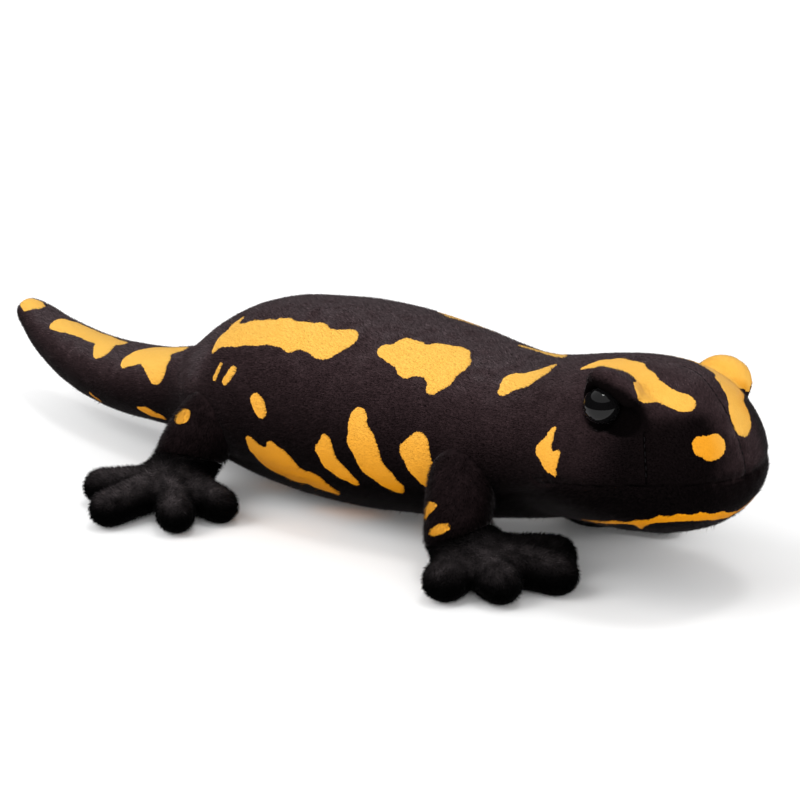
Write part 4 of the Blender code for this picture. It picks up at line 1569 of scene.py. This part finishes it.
# %% [markdown]
# ## The eyes
# Each eye is a 12 mm domed plastic safety eye: a ball with a slight collar where it meets its washer
# inside the cloth. A lathe profile would also do, but a ball with one ring drawn in is quicker.
# Black polished plastic needs almost no colour, and a low roughness for clear reflections.
# %% Eyes
EYE_AROUND, EYE_UP = 48, 32
COLLAR_FROM = -0.62  # where the collar starts, as a share of the radius
COLLAR_SCALE = (1.06, 1.06, 0.94)
EYE_FACES = (0.12, 1.0, 0.05)  # forward, outward and up
EYE_IOR = 1.33
EYE_ROUGH, SCUFF_ROUGH = 0.045, 0.06  # clean plastic, and what a scuff adds
SCUFF_SIZE, SCUFFED = 1.8, (0.55, 0.8)  # mm, and the part of the noise that is a scuff
EYE_BLACK, SCUFF_BLACK = (0.0022, 0.0021, 0.0023, 1), (0.0034, 0.0032, 0.0034, 1)
plastic, tree, shader = new_material("black eye plastic")
scuff = noise_node(tree, SCUFF_SIZE, 3.0, 0.6)
shader.inputs["IOR"].default_value = EYE_IOR
rough = maths(tree, "MULTIPLY_ADD", soft_step(tree, scuff, *SCUFFED), SCUFF_ROUGH, EYE_ROUGH)
tree.links.new(rough, shader.inputs["Roughness"])
tree.links.new(mixed(tree, scuff, EYE_BLACK, SCUFF_BLACK), shader.inputs["Base Color"])
eyes = {}
for side_name, side in SIDES:
    bm = bmesh.new()
    made = bmesh.ops.create_uvsphere(bm, u_segments=EYE_AROUND, v_segments=EYE_UP, radius=EYE_RADIUS)
    verts = made["verts"]
    collar = [vert for vert in verts if vert.co.z < COLLAR_FROM * EYE_RADIUS]
    bmesh.ops.scale(bm, vec=COLLAR_SCALE, verts=collar)
    facing = outward_of(side, EYE_FACES).normalized().to_track_quat("Z", "Y").to_matrix().to_4x4()
    bmesh.ops.transform(bm, matrix=facing, verts=bm.verts)
    bmesh.ops.translate(bm, vec=eye_middle[side_name], verts=bm.verts)
    bmesh.ops.scale(bm, vec=(MM, MM, MM), verts=bm.verts)
    eyes[side_name] = piece(f"safety_eye_{side_name}", bm)
    eyes[side_name].data.materials.append(plastic)
print("eye faces", len(eyes["right"].data.polygons))

# %% [markdown]
# ## Stitches
# Black thread closes the cheek darts, the seam down the face and the one over the crown. The mouth
# line is sewn from inside, so it shows as a parting without thread. Each stitch is a tiny stretched
# ball that follows its seam, half sunk in the parted pile. A curve with a bevel would make one long
# cord, and this seam shows single stitches.
# %% Seam thread
THREAD_PITCH = 2.3  # mm from one stitch to the next
STITCH_HALF = (0.17, 0.17, 0.8)
STITCH_REACH = 0.55  # mm each way along the seam that sets a stitch's direction
PLY_SIZE = 0.3  # mm
THREAD_BLACK, PLY_BLACK = (0.003, 0.003, 0.003, 1), (0.008, 0.007, 0.008, 1)
_, right_dart, _, left_dart, midline, crown = seam_lines
thread, tree, shader = new_material("black thread")
ply = noise_node(tree, PLY_SIZE)
tree.links.new(mixed(tree, ply, THREAD_BLACK, PLY_BLACK), shader.inputs["Base Color"])
shader.inputs["Roughness"].default_value = 0.9
shader.inputs["Specular IOR Level"].default_value = 0.1
thread_bm = bmesh.new()
for seam in (right_dart, left_dart, midline, crown):
    line = np.array([place[:3] for place in seam])
    run = np.concatenate([[0], np.cumsum(np.linalg.norm(np.diff(line, axis=0), axis=1))])
    for at in np.arange(THREAD_PITCH, run[-1] - 1, THREAD_PITCH):
        ends = (at - STITCH_REACH, at + STITCH_REACH)
        start, end = [Vector([np.interp(place, run, line[:, k]) for k in range(3)]) for place in ends]
        near = body_now.find_nearest((start + end) / 2 * MM)[0]
        verts = ball(thread_bm, (0, 0, 0), STITCH_HALF, around=8, up=6)
        place = Matrix.Translation(near) @ (end - start).to_track_quat("Z", "Y").to_matrix().to_4x4()
        bmesh.ops.transform(thread_bm, matrix=place, verts=verts)
stitches = piece("seam_thread", thread_bm)
stitches.data.materials.append(thread)
print("stitch faces", len(stitches.data.polygons))

# %% [markdown]
# ## What each piece stands for
# Every plush solid of the frame is hidden, and its cover stands for it. The covers are stuffed.
# The toy is still, so everything rides on the one body. The pits round the eyes are painted shade:
# a deep black cloth without sheen, which is the body cover's second material.
# %% Ride, replace and slot
PIT_SHADE_FROM = 0.6
body_cover.data.materials.clear()
body_cover.data.materials.append(body_cloth)
body_cover.data.materials.append(pit_shade_cloth)
# faces deep in the pit take the black cloth of painted shade
pit = taken(body_cover.data, "pit")
for face in body_cover.data.polygons:
    face.material_index = int(min(pit[i] for i in face.vertices) > PIT_SHADE_FROM)
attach(body_cover, "root")
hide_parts("head", "lower_jaw", "neck", "trunk", "tail", "lid_right", "lid_left")
for limb in legs:
    end, side_name = limb.split("_")
    for cover, node, slot, cloth in (
        (legs[limb], f"{end}_leg_{side_name}", "body_plush", body_cloth),
        (feet[limb], f"{end}_foot_{side_name}", "foot_plush", foot_cloth),
    ):
        cover.data.materials.append(cloth)
        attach(cover, "root")
        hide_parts(node)
for pile in piles:
    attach(pile, "root")
for side_name, eye in eyes.items():
    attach(eye, "root")
    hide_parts(f"eye_{side_name}")
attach(stitches, "root")

# %% [markdown]
# ## Floor and room
# The toy stands on a plain pale floor in a white room that fills the shadows. The floor is a little
# darker for light that it bounces up than for the camera, so that the toy's underside stays deep.
# %% Floor and room
FLOOR_HALF = 6.0  # m
CLOUD_SIZE = 400.0  # mm, of the floor's faint unevenness
FLOOR_WHITE, FLOOR_SHADE, FLOOR_BOUNCE = (0.93, 0.93, 0.93, 1), (0.90, 0.90, 0.90, 1), (0.8, 0.8, 0.8, 1)
ROOM_STRENGTH = 0.85
floor_bm = bmesh.new()
bmesh.ops.create_grid(floor_bm, x_segments=8, y_segments=8, size=FLOOR_HALF)
floor = piece("floor", floor_bm)
paint, tree, shader = new_material("pale floor")
clean = mixed(tree, noise_node(tree, CLOUD_SIZE), FLOOR_SHADE, FLOOR_WHITE)
bounced = tree.nodes.new("ShaderNodeLightPath").outputs["Is Diffuse Ray"]
tree.links.new(mixed(tree, bounced, clean, FLOOR_BOUNCE), shader.inputs["Base Color"])
shader.inputs["Roughness"].default_value = 0.7
shader.inputs["Specular IOR Level"].default_value = 0.2
floor.data.materials.append(paint)
floor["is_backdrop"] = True

scene = bpy.context.scene
scene.view_settings.view_transform = "Standard"
world = bpy.data.worlds.new("white room")
world.use_nodes = True
background = world.node_tree.nodes["Background"]
background.inputs["Color"].default_value = (1.0, 1.0, 1.0, 1)
background.inputs["Strength"].default_value = ROOM_STRENGTH
scene.world = world
print("room strength", ROOM_STRENGTH)

# %% [markdown]
# ## Lamps and card
# Three soft suns light the toy: a key from the camera's upper left, one overhead, and one from the
# camera's side. A sun lights every part alike. Only the overhead one is mirrored in the eyes,
# as one small bright point. A dark open cylinder stands round the toy, seen by reflections alone.
# A studio sets up such cards so that a glossy ball shows a dark band and not only a white room.
# %% Lamps and card
CARD_RADIUS, CARD_HEIGHT, CARD_AHEAD = 0.42, 0.37, 0.14  # m
CARD_BLACK = (0.004, 0.004, 0.004, 1)
LAMPS = [  # name, the way to it, degrees that it spans, strength, and whether it is mirrored
    ("key", (-0.38, -0.62, 0.69), 40.0, 1.25, False),
    ("overhead", (0.107, 0.059, 0.992), 12.0, 0.42, True),
    ("front", (0.59, -0.75, 0.30), 50.0, 1.6, False),
]
for name, toward, spread, strength, mirrored in LAMPS:
    lamp = bpy.data.lights.new(name, "SUN")
    lamp.angle, lamp.energy = math.radians(spread), strength
    sun = add_object(name, lamp)
    sun.rotation_euler = Vector(toward).to_track_quat("Z", "Y").to_euler()
    sun.visible_glossy = mirrored

card_bm = bmesh.new()
bmesh.ops.create_cone(card_bm, segments=64, radius1=CARD_RADIUS, radius2=CARD_RADIUS, depth=CARD_HEIGHT)
bmesh.ops.translate(card_bm, vec=(CARD_AHEAD, 0.0, CARD_HEIGHT / 2), verts=card_bm.verts)
card = piece("dark_card", card_bm)
card_paint, tree, shader = new_material("dark card")
shader.inputs["Base Color"].default_value = CARD_BLACK
shader.inputs["Roughness"].default_value = 1.0
shader.inputs["Specular IOR Level"].default_value = 0.0
card.data.materials.append(card_paint)
card.visible_camera = card.visible_diffuse = card.visible_shadow = card.visible_transmission = False
card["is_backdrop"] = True
print("lamps", [name for name, *_ in LAMPS])

# %% [markdown]
# ## Camera
# The camera looks a little down on the toy's right side and face, from about 0.9 m, through a long
# lens that keeps the head from looking bigger than it is.
# %% Camera
CAMERA_PLACE = (0.5481, -0.6521, 0.3042)
CAMERA_ROUND, CAMERA_DOWN = 38.0, 17.5  # degrees from the toy's right side toward its head, and down
LENS, SENSOR = 109.44, 36.0  # mm
camera = add_object("camera", bpy.data.cameras.new("camera"))
camera.location = CAMERA_PLACE
camera.rotation_euler = (math.radians(90 - CAMERA_DOWN), 0.0, math.radians(CAMERA_ROUND))
camera.data.lens, camera.data.sensor_width = LENS, SENSOR
camera.data.clip_start, camera.data.clip_end = 0.05, 50.0
scene.camera = camera
print("camera at", tuple(camera.location))

# %% [markdown]
# ## The end
# The visual box is printed, so that the looks can be compared with the frame's size.
# %% Sizes and finish
low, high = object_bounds()
print("visual box in mm", [round(v / MM, 1) for v in low], [round(v / MM, 1) for v in high])
